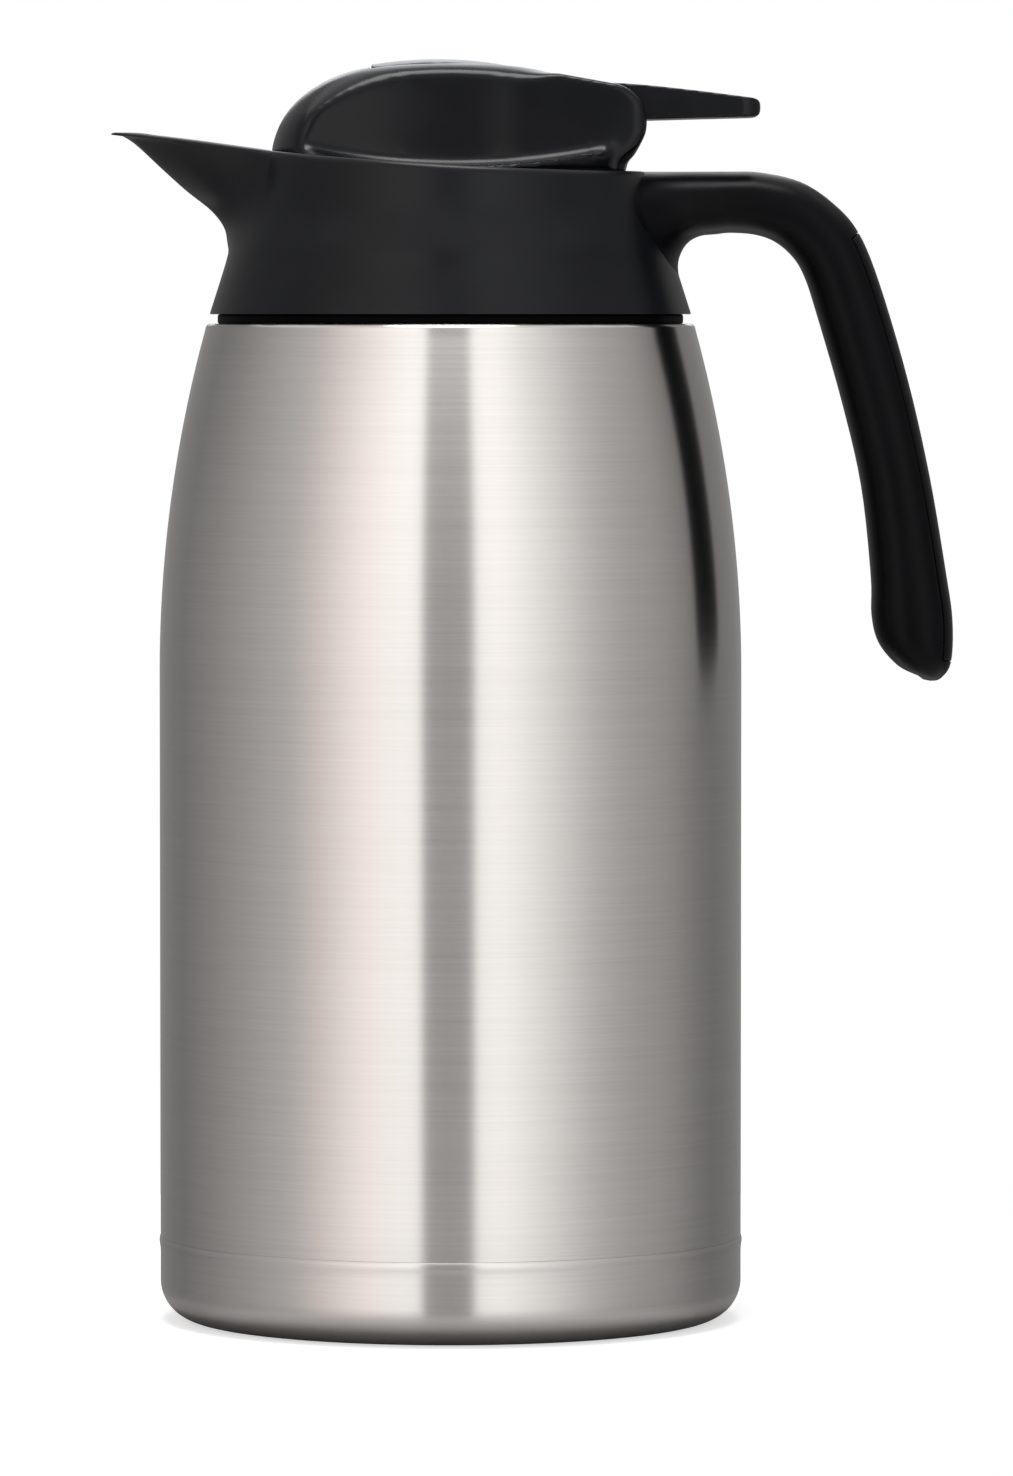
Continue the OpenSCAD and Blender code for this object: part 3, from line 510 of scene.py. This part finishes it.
def makeHandleGrip(shape):
    turns = [math.tau * i / shape["points"] for i in range(shape["points"])]
    first, last = shape["coverFrom"] * shape["steps"], shape["coverTo"] * shape["steps"]
    rings = []
    sections = handleRoot + handleStations
    offset = len(handleRoot)

    def ringOf(s, seat):
        limit = partLine(s, shape["coverDepth"]) if seat else 2
        return [onSection(s, min(ovalPart(math.cos(a)), limit), ovalPart(math.sin(a))) for a in turns]

    for i, s in enumerate(sections):
        k = i - offset
        if k == first:
            rings.append(ringOf(s, False))
        rings.append(ringOf(s, first <= k <= last))
        if k == last:
            rings.append(ringOf(s, False))
    start, end = sections[0], sections[-1]
    rings.insert(0, [((start[0] + start[2]) / 2, 0, (start[1] + start[3]) / 2)] * shape["points"])
    rings.append([((end[0] + end[2]) / 2 - 0.1, 0, (end[1] + end[3]) / 2 - 0.35)] * shape["points"])
    return loft("handleGrip", rings, angle=40)


def makeHandleBack(shape):
    first, last = shape["coverFrom"] * shape["steps"], shape["coverTo"] * shape["steps"]
    rings = []
    for k in range(first, last + 1):
        s = list(handleStations[k])
        limit = partLine(s, shape["coverDepth"] - shape["coverGap"])
        reach = math.acos(max(limit, 0) ** (shape["power"] / 2))
        face = [reach * i / 14 for i in range(-14, 15)]
        ring = [onSection(s, ovalPart(math.cos(a)), ovalPart(math.sin(a))) for a in face]
        edge = ring[-1][1]
        ring += [onSection(s, limit, edge / s[4] * (1 - i / 4)) for i in range(1, 8)]
        rings.append(ring)
    for end in (0, -1):
        inward = rings[1 if end == 0 else -2]
        middle = [sum(p[i] for p in rings[end]) / len(rings[end]) for i in range(3)]
        cap = [tuple(middle)] * len(rings[end])
        rings[end] = [tuple(a + (b - a) * shape["coverTip"] for a, b in zip(p, q)) for p, q in zip(rings[end], inward)]
        rings = [cap] + rings if end == 0 else rings + [cap]
    return loft("handleBack", rings, angle=40)


handleGrip = makeHandleGrip(handleShape)
handleBack = makeHandleBack(handleShape)
for piece, node in ((handleGrip, "handle"), (handleBack, "handle_cover")):
    addModifier(piece, "BEVEL", width=handleShape["edge"] * mm, segments=3, limit_method="ANGLE",
                angle_limit=math.radians(50))
    onlyThis(piece)
    bpy.ops.object.shade_smooth_by_angle(angle=math.radians(50))
    piece.data.materials.append(gripBlack)
    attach(piece, "carafe")
    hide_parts(node)
print("handle made")


# domed top of the stopper: a turned dome and a straight ridge, with two finger scallops
lidShape = {"radius": 41.0, "deck": 256.8, "crown": 281.49, "pivotX": 35.0, "pivotZ": 268.0, "earRadius": 8.8,
            "halfWidth": 17.5, "waist": 16.5, "scallop": 120.0, "foot": 258.15, "footFillet": 3.2,
            "smile": 3.6, "voxel": 0.5, "soften": 130, "fall": 0.03, "slotWidth": 20.8, "slotFront": -18.1,
            "slotFloor": 262.9}


# finger scallop: a hollow wall from the front that runs on flush into the ear, and a floor that dips in the middle
def makeScallop(shape, sign):
    face = shape["halfWidth"] - 0.05
    wall = []
    for x in [-60, -54, -48, -42] + [-38 + 2 * i for i in range(44)]:
        y = shape["waist"] + shape["scallop"] - math.sqrt(shape["scallop"] ** 2 - x * x)
        wall.append((x, min(y, face) if x > 0 else y))
    fillet, foot = shape["footFillet"], shape["foot"]
    levels = [(0, 292), (0, foot + fillet + 4), (0, foot + fillet)]
    for step in range(1, 9):
        a = math.radians(step * 10)
        levels.append((fillet * (1 - math.cos(a)), foot + fillet * (1 - math.sin(a))))
    levels += [(12, foot - 0.05), (25, foot - 0.15)]
    rings = []
    for away, z in levels:
        ring = [(x, y + away) for x, y in wall] + [(wall[-1][0], 90), (-60, 90)]
        dips = [0 if z > 280 else shape["smile"] * ((max(x, -36) - 1.5) / 34.5) ** 2 for x, _ in ring]
        rings.append([(x, sign * y, z + dip) for (x, y), dip in zip(ring, dips)])
    rings = [[(0, sign * 60, 292)] * len(rings[0])] + rings + [[(0, sign * 60, foot - 1.2)] * len(rings[0])]
    return loft("scallop", rings)


def makeLidDome(shape):
    r, top, deck = shape["radius"], shape["crown"], shape["deck"]
    outline = [[0, deck], [r - 2.2, deck], [r - 1.8, deck + 0.4], [r - 1.5, deck + 1.7], [r - 1.1, deck + 3.8]]  # the dome
    outline += through([
        [r - 0.9, top - 19.1], [r - 2.8, top - 13.6], [r - 6.3, top - 8.8], [r - 11.5, top - 4.8],
        [r - 17, top - 2.3], [r - 22.5, top - 1], [r - 31, top - 0.25], [0, top]], 5)
    dome = turned("lidDome", [tuple(p) for p in outline], sides=240, closed=False)
    side = [(0, deck), (0, top - 0.9), (12, top - 1.35), (24, top - 2.6)]
    side += arc(shape["pivotX"], shape["pivotZ"], shape["earRadius"], 82, -28, 14)
    side += [(r + 0.1, deck + 4), (r - 1.55, deck + 2.5), (r - 2.1, deck + 1.4), (r - 2.3, deck)]
    half, middle = shape["halfWidth"], 20
    ridge = loft("ridge", [[(middle, -half, 266)] * len(side)] + [
        [(x, y, z) for x, z in side] for y in (-half, half)] + [[(middle, half, 266)] * len(side)])
    bowl = turned("earBowl", [(0, deck - 1), (r, deck - 1), (r, deck + 1.4), (r + 0.3, deck + 3), (r + 2.2, deck + 4.7),
                              (r + 4.2, deck + 6.2), (r + 8, 269), (r + 9, 282.5), (0, 282.5)], closed=False)
    rear = shape["pivotX"] + shape["earRadius"]
    plan = softened([(-1, -half), (rear, -half, 3), (rear, half, 3), (-1, half)], 5)
    corner = loft("plan", [[(middle, 0, deck - 1)] * len(plan)] + [[(x, y, z) for x, y in plan] for z in (deck - 1, 290)]
                  + [[(middle, 0, 290)] * len(plan)])
    cutAway(ridge, bowl, "INTERSECT")
    cutAway(ridge, corner, "INTERSECT")
    cutAway(dome, ridge, "UNION")
    for sign in (-1, 1):
        cutAway(dome, makeScallop(shape, sign))
    addModifier(dome, "REMESH", mode="VOXEL", voxel_size=shape["voxel"] * mm)
    softness = dome.vertex_groups.new(name="softness")  # full on the crown, little on the ears, least at the foot
    for vertex in dome.data.vertices:
        x, _, z = [c / mm for c in vertex.co]
        ear = 0.5 if x > 31 and z < 265 else 0.16
        weight = min(max((z - 258.5) / 5, 0.15), 1) * min(max((25 - x) / 8, ear), 1)
        softness.add([vertex.index], weight, "REPLACE")
    addModifier(dome, "SMOOTH", factor=0.5, iterations=shape["soften"], vertex_group="softness")
    for vertex in dome.data.vertices:  # the crown falls a little to both sides
        x, y, z = [c / mm for c in vertex.co]
        share = min(max((z - 270) / 9, 0), 1) * min(max((24 - x) / 12, 0), 1)
        vertex.co[2] -= mm * shape["fall"] * max(abs(y) - 10, 0) ** 2 * share
    cutAway(dome, block("slot", (shape["slotFront"], -shape["slotWidth"] / 2, shape["slotFloor"]),
                        (62, shape["slotWidth"] / 2, 300)))
    onlyThis(dome)
    bpy.ops.object.shade_smooth_by_angle(angle=math.radians(65))
    return dome


lidDome = makeLidDome(lidShape)
lidDome.data.materials.clear()
lidDome.data.materials.append(lidBlack)
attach(lidDome, "stopper")
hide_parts("lid_cover")
print("domed top made,", len(lidDome.data.polygons), "faces")


# thumb lever: a long band over the crown that ends in the paddle
leverShape = {"voxel": 0.4, "soften": 3, "crown": 0.0115}


def makeLever(shape):
    piece = copyOfNode("lever", "thumbLever")
    addModifier(piece, "REMESH", mode="VOXEL", voxel_size=shape["voxel"] * mm)
    onlyThis(piece)
    bpy.ops.object.mode_set(mode="EDIT")
    bpy.ops.mesh.select_all(action="SELECT")
    bpy.ops.mesh.vertices_smooth(factor=0.5, repeat=shape["soften"])
    bpy.ops.object.mode_set(mode="OBJECT")
    for vertex in piece.data.vertices:  # the band over the dome is crowned across
        x, y, z = [c / mm for c in vertex.co]
        share = min(max((z - 275) / 5, 0), 1) * min(max((34 - x) / 12, 0), 1)
        vertex.co[2] -= mm * shape["crown"] * y * y * share
    bpy.ops.object.shade_smooth_by_angle(angle=math.radians(60))
    return piece


thumbLever = makeLever(leverShape)
thumbLever.data.materials.clear()
thumbLever.data.materials.append(lidBlack)
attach(thumbLever, "lever")
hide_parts("lever")
print("lever made,", len(thumbLever.data.polygons), "faces")


# metal without brushing: a fine tumbled or drawn surface, slightly uneven in tone
def plainMetal(name, finish):
    material = newMaterial(name)
    spot = addNode(material, "ShaderNodeTexCoord")
    grain = addNode(material, "ShaderNodeTexNoise", {"Scale": 1 / (finish["grain"] * mm), "Detail": 3.0},
                    {"Vector": (spot, "Object")})
    colour = addNode(material, "ShaderNodeValToRGB", {"stops": [(0.3, finish["dark"]), (0.7, finish["light"])]},
                     {0: (grain, 0)})
    rough = addNode(material, "ShaderNodeMapRange", {
        1: 0.3, 2: 0.7, 3: finish["roughness"] - 0.06, 4: finish["roughness"] + 0.06}, {0: (grain, 0)})
    bump = addNode(material, "ShaderNodeBump", {"Strength": finish["depth"], "Distance": 0.04 * mm}, {"Height": (grain, 0)})
    return finishWith(material, {"Metallic": 1.0}, {"Base Color": colour, "Roughness": rough, "Normal": bump})


drawnSteel = plainMetal("stainless flask, deep drawn and pickled", {  # satin grey, seen in the mouth
    "dark": "#b4b1ad", "light": "#c9c6c2", "roughness": 0.36, "grain": 0.7, "depth": 0.1})
springWire = plainMetal("stainless spring wire, cold drawn", {  # bright, narrow highlights on every turn
    "dark": "#a9a9ab", "light": "#cfcfd1", "roughness": 0.22, "grain": 0.5, "depth": 0.05})
turnedSteel = plainMetal("steel, nickel plated", {  # warm bright screws and pins
    "dark": "#b3ab9d", "light": "#cbc4b6", "roughness": 0.26, "grain": 0.4, "depth": 0.08})
copperFoil = plainMetal("copper foil, rolled", {  # warm, creased sheen
    "dark": "#b8693c", "light": "#d89064", "roughness": 0.3, "grain": 3.0, "depth": 0.5})
solderBead = plainMetal("brazing bead, cast", {  # dull brassy drop under the base
    "dark": "#8a6a45", "light": "#ab8a5e", "roughness": 0.48, "grain": 0.9, "depth": 0.5})
getterMetal = plainMetal("getter pellet, pressed metal powder", {  # matt, speckled grey
    "dark": "#57534f", "light": "#86817b", "roughness": 0.68, "grain": 0.25, "depth": 0.6})
stemPlastic = mouldedPlastic("acetal, moulded dark grey", {  # a little glossier than the plug, for sliding
    "dark": "#2c2d30", "light": "#37383c", "roughness": 0.3, "grain": 0.5, "depth": 0.06})
thinSilicone = mouldedPlastic("silicone rubber, moulded milky, thin", {  # a little greyer and duller where it is thin
    "dark": "#bdb9b0", "light": "#d3cfc6", "roughness": 0.5, "grain": 0.4, "depth": 0.1, "ior": 1.43})


# a copy of a CAD piece with its edges softened, as a mould or a lathe leaves them
def softCopy(node, name, width, material, body):
    piece = copyOfNode(node, name)
    addModifier(piece, "BEVEL", width=width * mm, segments=3, limit_method="ANGLE", angle_limit=math.radians(50))
    onlyThis(piece)
    bpy.ops.object.shade_smooth_by_angle(angle=math.radians(40))
    piece.data.materials.clear()
    piece.data.materials.append(material)
    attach(piece, body)
    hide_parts(node)
    return piece


def addRound(name, profile, material, node, body, angle=40):
    piece = turned(name, profile, sides=120, angle=angle)
    piece.data.materials.append(material)
    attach(piece, body)
    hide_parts(node)
    return piece


# plug: three short cam grooves in the skirt, each climbing as the stopper turns home
plugShape = {"skirt": 37.1, "grooveDepth": 1.1, "grooveHigh": 2.4, "low": 243.6, "rise": 3.2,
             "starts": (-78, 8, 84), "sweep": 60, "steps": 24}


def makeCamGroove(shape, start):
    rings = []
    inner, outer = shape["skirt"] - shape["grooveDepth"], shape["skirt"] + 0.6
    for i in range(shape["steps"] + 1):
        a = math.radians(start + shape["sweep"] * i / shape["steps"])
        base = shape["low"] + shape["rise"] * i / shape["steps"]
        top = base + shape["grooveHigh"]
        section = [(inner, base + 0.4), (outer, base), (outer, top), (inner, top - 0.4)]
        rings.append([(r * math.cos(a), r * math.sin(a), z) for r, z in section])
    caps = [[tuple(sum(p[k] for p in ring) / 4 for k in range(3))] * 4 for ring in (rings[0], rings[-1])]
    return loft("camGroove", [caps[0]] + rings + [caps[1]])


stopperPlug = softCopy("stopper_plug", "stopperPlug", 0.25, innerPlastic, "stopper")
for start in plugShape["starts"]:
    cutAway(stopperPlug, makeCamGroove(plugShape, start))
onlyThis(stopperPlug)
bpy.ops.object.shade_smooth_by_angle(angle=math.radians(40))
pourLiner = softCopy("pour_liner", "pourLiner", 0.25, innerPlastic, "carafe")
leverFrame = softCopy("lever_frame", "leverFrame", 0.3, innerPlastic, "stopper")
stemGuide = softCopy("stem_guide", "stemGuide", 0.25, stemPlastic, "stopper")
valveStem = softCopy("valve_stem", "valveStem", 0.3, stemPlastic, "valve")
valveDisc = softCopy("valve_disc", "valveDisc", 0.4, stemPlastic, "valve")
leverPin = softCopy("lever_pin", "leverPin", 0.2, turnedSteel, "stopper")
stemPin = softCopy("stem_pin", "stemPin", 0.2, turnedSteel, "valve")
handleScrews = softCopy("handle_screws", "handleScrews", 0.35, turnedSteel, "carafe")
screwShape = {"apart": 12.0, "height": 250.3, "recess": (1.7, 0.35), "from": 40.9, "to": 42.3}  # cross recess
for side in (-screwShape["apart"] / 2, screwShape["apart"] / 2):
    for halfY, halfZ in (screwShape["recess"], screwShape["recess"][::-1]):
        cutAway(handleScrews, block("recess", (screwShape["from"], side - halfY, screwShape["height"] - halfZ),
                                    (screwShape["to"], side + halfY, screwShape["height"] + halfZ)))
print("plug, liner, frame and stem made")

# seals: the plug's gasket carries two lips that press on the steel mouth
plugGasket = addRound("plugGasket", softened([
    (32.3, 226.5), (32.3, 229.9), (33.2, 229.9, 0.3), (33.72, 229.3, 0.2), (33.2, 228.7, 0.3), (33.0, 228.2, 0.3),
    (33.2, 227.7, 0.3), (33.72, 227.1, 0.2), (33.2, 226.5, 0.3)]), clearSilicone, "plug_gasket", "plug_ring")
mouthGasket = addRound("mouthGasket", softened([
    (37.55, 237.82, 0.3), (37.55, 239.18, 0.3), (34.45, 239.18, 0.3), (34.45, 237.82, 0.3)]),
    clearSilicone, "mouth_gasket", "carafe")


# spring: round wire, with a closed turn at each end; the real one shortens as the valve rises
springShape = {"radius": 6.6, "wire": 1.0, "turns": 6, "low": 231.1, "high": 248.4, "steps": 32, "sides": 12}


def makeSpring(shape):
    count = shape["turns"] * shape["steps"]
    wire = shape["wire"] / 2
    rings = []
    for i in range(count + 1):
        a = math.tau * i / shape["steps"]
        share = min(max((i / count - 0.08) / 0.84, 0), 1)
        z = shape["low"] + 0.3 * i / count + (shape["high"] - shape["low"] - 0.3) * share
        turns = [math.tau * k / shape["sides"] for k in range(shape["sides"])]
        section = [(shape["radius"] + wire * math.cos(b), z + wire * math.sin(b)) for b in turns]
        rings.append([(r * math.cos(a), r * math.sin(a), height) for r, height in section])
    caps = [[tuple(sum(p[k] for p in ring) / len(ring) for k in range(3))] * len(ring) for ring in (rings[0], rings[-1])]
    return loft("valveSpring", [caps[0]] + rings + [caps[1]], angle=60)


valveSpring = makeSpring(springShape)
valveSpring.data.materials.append(springWire)
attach(valveSpring, "stopper")
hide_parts("valve_spring")
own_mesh(valveSpring)
print("seals and spring made")

# CAD nodes whose shape is right keep it, and get the finish of the real part
nodeFinish = {
    "inner_flask": drawnSteel, "vacuum_seal": solderBead, "flask_foil": copperFoil, "getter": getterMetal,
    "stem_seal": thinSilicone, "valve_seal": clearSilicone}
for name, material in nodeFinish.items():
    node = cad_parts[name]
    if node.material_slots:
        for slot in node.material_slots:
            slot.material = material
    else:
        node.data.materials.append(material)


# studio: pale floor, a ring of soft panels round the table that only the object sees, and a soft light above
studio = {"floorRadius": 0.3, "mirrorFrom": 0.064, "mirrorTo": 0.085, "ringRadius": 2.4, "ringLow": -1.3, "ringHigh": 1.9,
          "ringGlow": 1.9, "lowShare": 0.82, "topPower": 22.0, "topSize": 0.95, "world": 0.35,
          "crownY": 2.2, "crownZ": 1.6, "crownHeight": 2.2, "crownWidth": 0.9, "crownGlow": 1.8}


# the floor keeps the shadow; seen in the steel it is painted dark close to the base, a painted shade under the body,
# and it ends a little way out, where the white surround takes over
def makeFloor(settings):
    bpy.ops.object.select_all(action="DESELECT")
    bpy.ops.mesh.primitive_circle_add(vertices=128, radius=settings["floorRadius"], fill_type="NGON",
                                      location=(0, 0, -0.1 * mm))
    floor = bpy.context.object
    floor.name = "floor"
    material = newMaterial("table, matt white laminate")
    path = addNode(material, "ShaderNodeLightPath")
    matt = addNode(material, "ShaderNodeBsdfDiffuse", {"Color": fromHex("#d2d2d2")})
    lift = addNode(material, "ShaderNodeMath", {"operation": "MULTIPLY", 1: 0.6}, {0: (path, "Is Camera Ray")})
    glow = addNode(material, "ShaderNodeEmission", {"Color": (1, 1, 1, 1)}, {"Strength": lift})
    both = addNode(material, "ShaderNodeAddShader", links={0: matt, 1: glow})
    spot = addNode(material, "ShaderNodeTexCoord")
    away = addNode(material, "ShaderNodeVectorMath", {"operation": "LENGTH"}, {0: (spot, "Object")})
    far = addNode(material, "ShaderNodeMapRange", {1: settings["mirrorFrom"], 2: settings["mirrorTo"], 3: 0.0, 4: 1.0},
                  {0: (away, "Value")})
    unseen = addNode(material, "ShaderNodeMath", {"operation": "MULTIPLY"}, {0: far, 1: (path, "Is Glossy Ray")})
    clear = addNode(material, "ShaderNodeBsdfTransparent")
    # painted shade: seen in the steel, the floor is dark grey within 5 cm of the centre and light grey from 7 cm out,
    # standing in for the shade under the body
    close = addNode(material, "ShaderNodeValToRGB", {"stops": [(0.05, "#303030"), (0.07, "#b4b4b4")]}, {0: (away, "Value")})
    shade = addNode(material, "ShaderNodeBsdfDiffuse", links={"Color": close})
    mirrored = addNode(material, "ShaderNodeMixShader", links={0: (path, "Is Glossy Ray"), 1: both, 2: shade})
    surface = addNode(material, "ShaderNodeMixShader", links={0: unseen, 1: mirrored, 2: clear})
    addNode(material, "ShaderNodeOutputMaterial", links={"Surface": surface})
    floor.data.materials.append(material)
    return floor


# brightness of the panels by direction: (degrees from the camera to the right, grey)
panelGreys = [(-180, 0.30), (-152, 0.28), (-131, 0.27), (-108, 0.38), (-87, 0.52), (-67, 0.70), (-58, 0.88), (-49, 1.12),
              (-40, 1.38), (-32, 1.58), (-24, 1.68), (-18, 1.72), (-11.4, 1.7), (-9.8, 0.48), (-7, 0.45), (5.7, 0.45),
              (8.7, 0.52), (10.3, 1.62), (14, 1.7), (22, 1.7), (30, 1.52), (38, 1.31), (48, 1.05), (57, 0.83), (66, 0.68),
              (76, 0.57), (95, 0.46), (114, 0.31), (126, 0.26), (150, 0.28), (180, 0.30)]
panelTints = [(-180, (1, 1, 1)), (-72, (1, 1, 1)), (-50, (1.07, 0.99, 0.975)), (-32, (1.06, 0.99, 0.98)), (-22, (1, 1, 1))]


def panelColour(angle, grey):
    tint = [lookup([(a, t[k]) for a, t in panelTints], angle) for k in range(3)]
    return tuple(grey / studio["ringGlow"] * part for part in tint)


def makePanels(settings):
    low, high = settings["ringLow"], settings["ringHigh"]
    bpy.ops.object.select_all(action="DESELECT")
    bpy.ops.mesh.primitive_cylinder_add(vertices=180, radius=settings["ringRadius"], depth=high - low,
                                        end_fill_type="NOTHING", location=(0, 0, (high + low) / 2))
    ring = bpy.context.object
    ring.name = "softPanels"
    bpy.ops.object.transform_apply(location=True)
    material = newMaterial("diffusion cloth, lit from behind")
    spot = addNode(material, "ShaderNodeTexCoord")
    xyz = addNode(material, "ShaderNodeSeparateXYZ", links={0: (spot, "Object")})
    forward = addNode(material, "ShaderNodeMath", {"operation": "MULTIPLY", 1: -1.0}, {0: (xyz, 1)})
    turn = addNode(material, "ShaderNodeMath", {"operation": "ARCTAN2"}, {0: (xyz, 0), 1: forward})
    share = addNode(material, "ShaderNodeMapRange", {1: -math.pi, 2: math.pi, 3: 0.0, 4: 1.0}, {0: turn})
    grey = addNode(material, "ShaderNodeValToRGB", {"stops": [
        ((a + 180) / 360, panelColour(a, g)) for a, g in panelGreys]}, {0: share})
    height = addNode(material, "ShaderNodeMapRange", {
        1: -0.6, 2: 0.1, 3: settings["ringGlow"] * settings["lowShare"], 4: settings["ringGlow"]}, {0: (xyz, 2)})
    glow = addNode(material, "ShaderNodeEmission", {}, {"Color": grey, "Strength": height})
    addNode(material, "ShaderNodeOutputMaterial", links={"Surface": glow})
    ring.data.materials.append(material)
    ring.visible_camera = False
    ring.visible_shadow = False
    return ring


# slim bright panel high behind the table: it draws the soft line along the crown
def makeCrownPanel(settings):
    bpy.ops.object.select_all(action="DESELECT")
    bpy.ops.mesh.primitive_plane_add(size=1, location=(0, settings["crownY"], settings["crownZ"]),
                                     rotation=(math.radians(90), 0, 0))
    panel = bpy.context.object
    panel.name = "crownPanel"
    panel.scale = (settings["crownWidth"], settings["crownHeight"], 1)
    material = newMaterial("diffusion cloth, bright")
    glow = addNode(material, "ShaderNodeEmission", {"Color": (0.95, 0.97, 1.0, 1), "Strength": settings["crownGlow"]})
    addNode(material, "ShaderNodeOutputMaterial", links={"Surface": glow})
    panel.data.materials.append(material)
    panel.visible_camera = False
    panel.visible_diffuse = False
    panel.visible_shadow = False
    return panel


def makeLights(settings):
    bpy.ops.object.light_add(type="AREA", location=(0, -0.25, 1.75))
    top = bpy.context.object
    top.data.shape = "DISK"
    top.data.size = settings["topSize"]
    top.data.energy = settings["topPower"]
    top.rotation_euler = (math.radians(-8), 0, 0)
    world = bpy.data.worlds.new("studio")
    bpy.context.scene.world = world
    world.use_nodes = True
    world.node_tree.nodes.clear()
    path = addNode(world, "ShaderNodeLightPath")
    seen = addNode(world, "ShaderNodeMath", {"operation": "MAXIMUM"},
                   {0: (path, "Is Camera Ray"), 1: (path, "Is Glossy Ray")})
    seenToo = addNode(world, "ShaderNodeMath", {"operation": "MAXIMUM"}, {0: seen, 1: (path, "Is Transmission Ray")})
    strength = addNode(world, "ShaderNodeMapRange", {1: 0.0, 2: 1.0, 3: settings["world"], 4: 1.0}, {0: seenToo})
    glow = addNode(world, "ShaderNodeBackground", {"Color": (1, 1, 1, 1)}, {"Strength": strength})
    addNode(world, "ShaderNodeOutputWorld", links={"Surface": glow})


floor = makeFloor(studio)
softPanels = makePanels(studio)
crownPanel = makeCrownPanel(studio)
makeLights(studio)

# camera at the photograph's viewing angle, a little above the rim and looking slightly down
view = {"place": (0.01255, -2.081, 0.2275), "down": 2.67, "lens": 226.5, "sensor": 36}
bpy.ops.object.camera_add(location=view["place"], rotation=(math.radians(90 - view["down"]), 0, 0))
camera = bpy.context.object
camera.data.lens = view["lens"]
camera.data.sensor_width = view["sensor"]
bpy.context.scene.camera = camera
bpy.context.scene.view_settings.view_transform = "Standard"
print("studio and camera set")
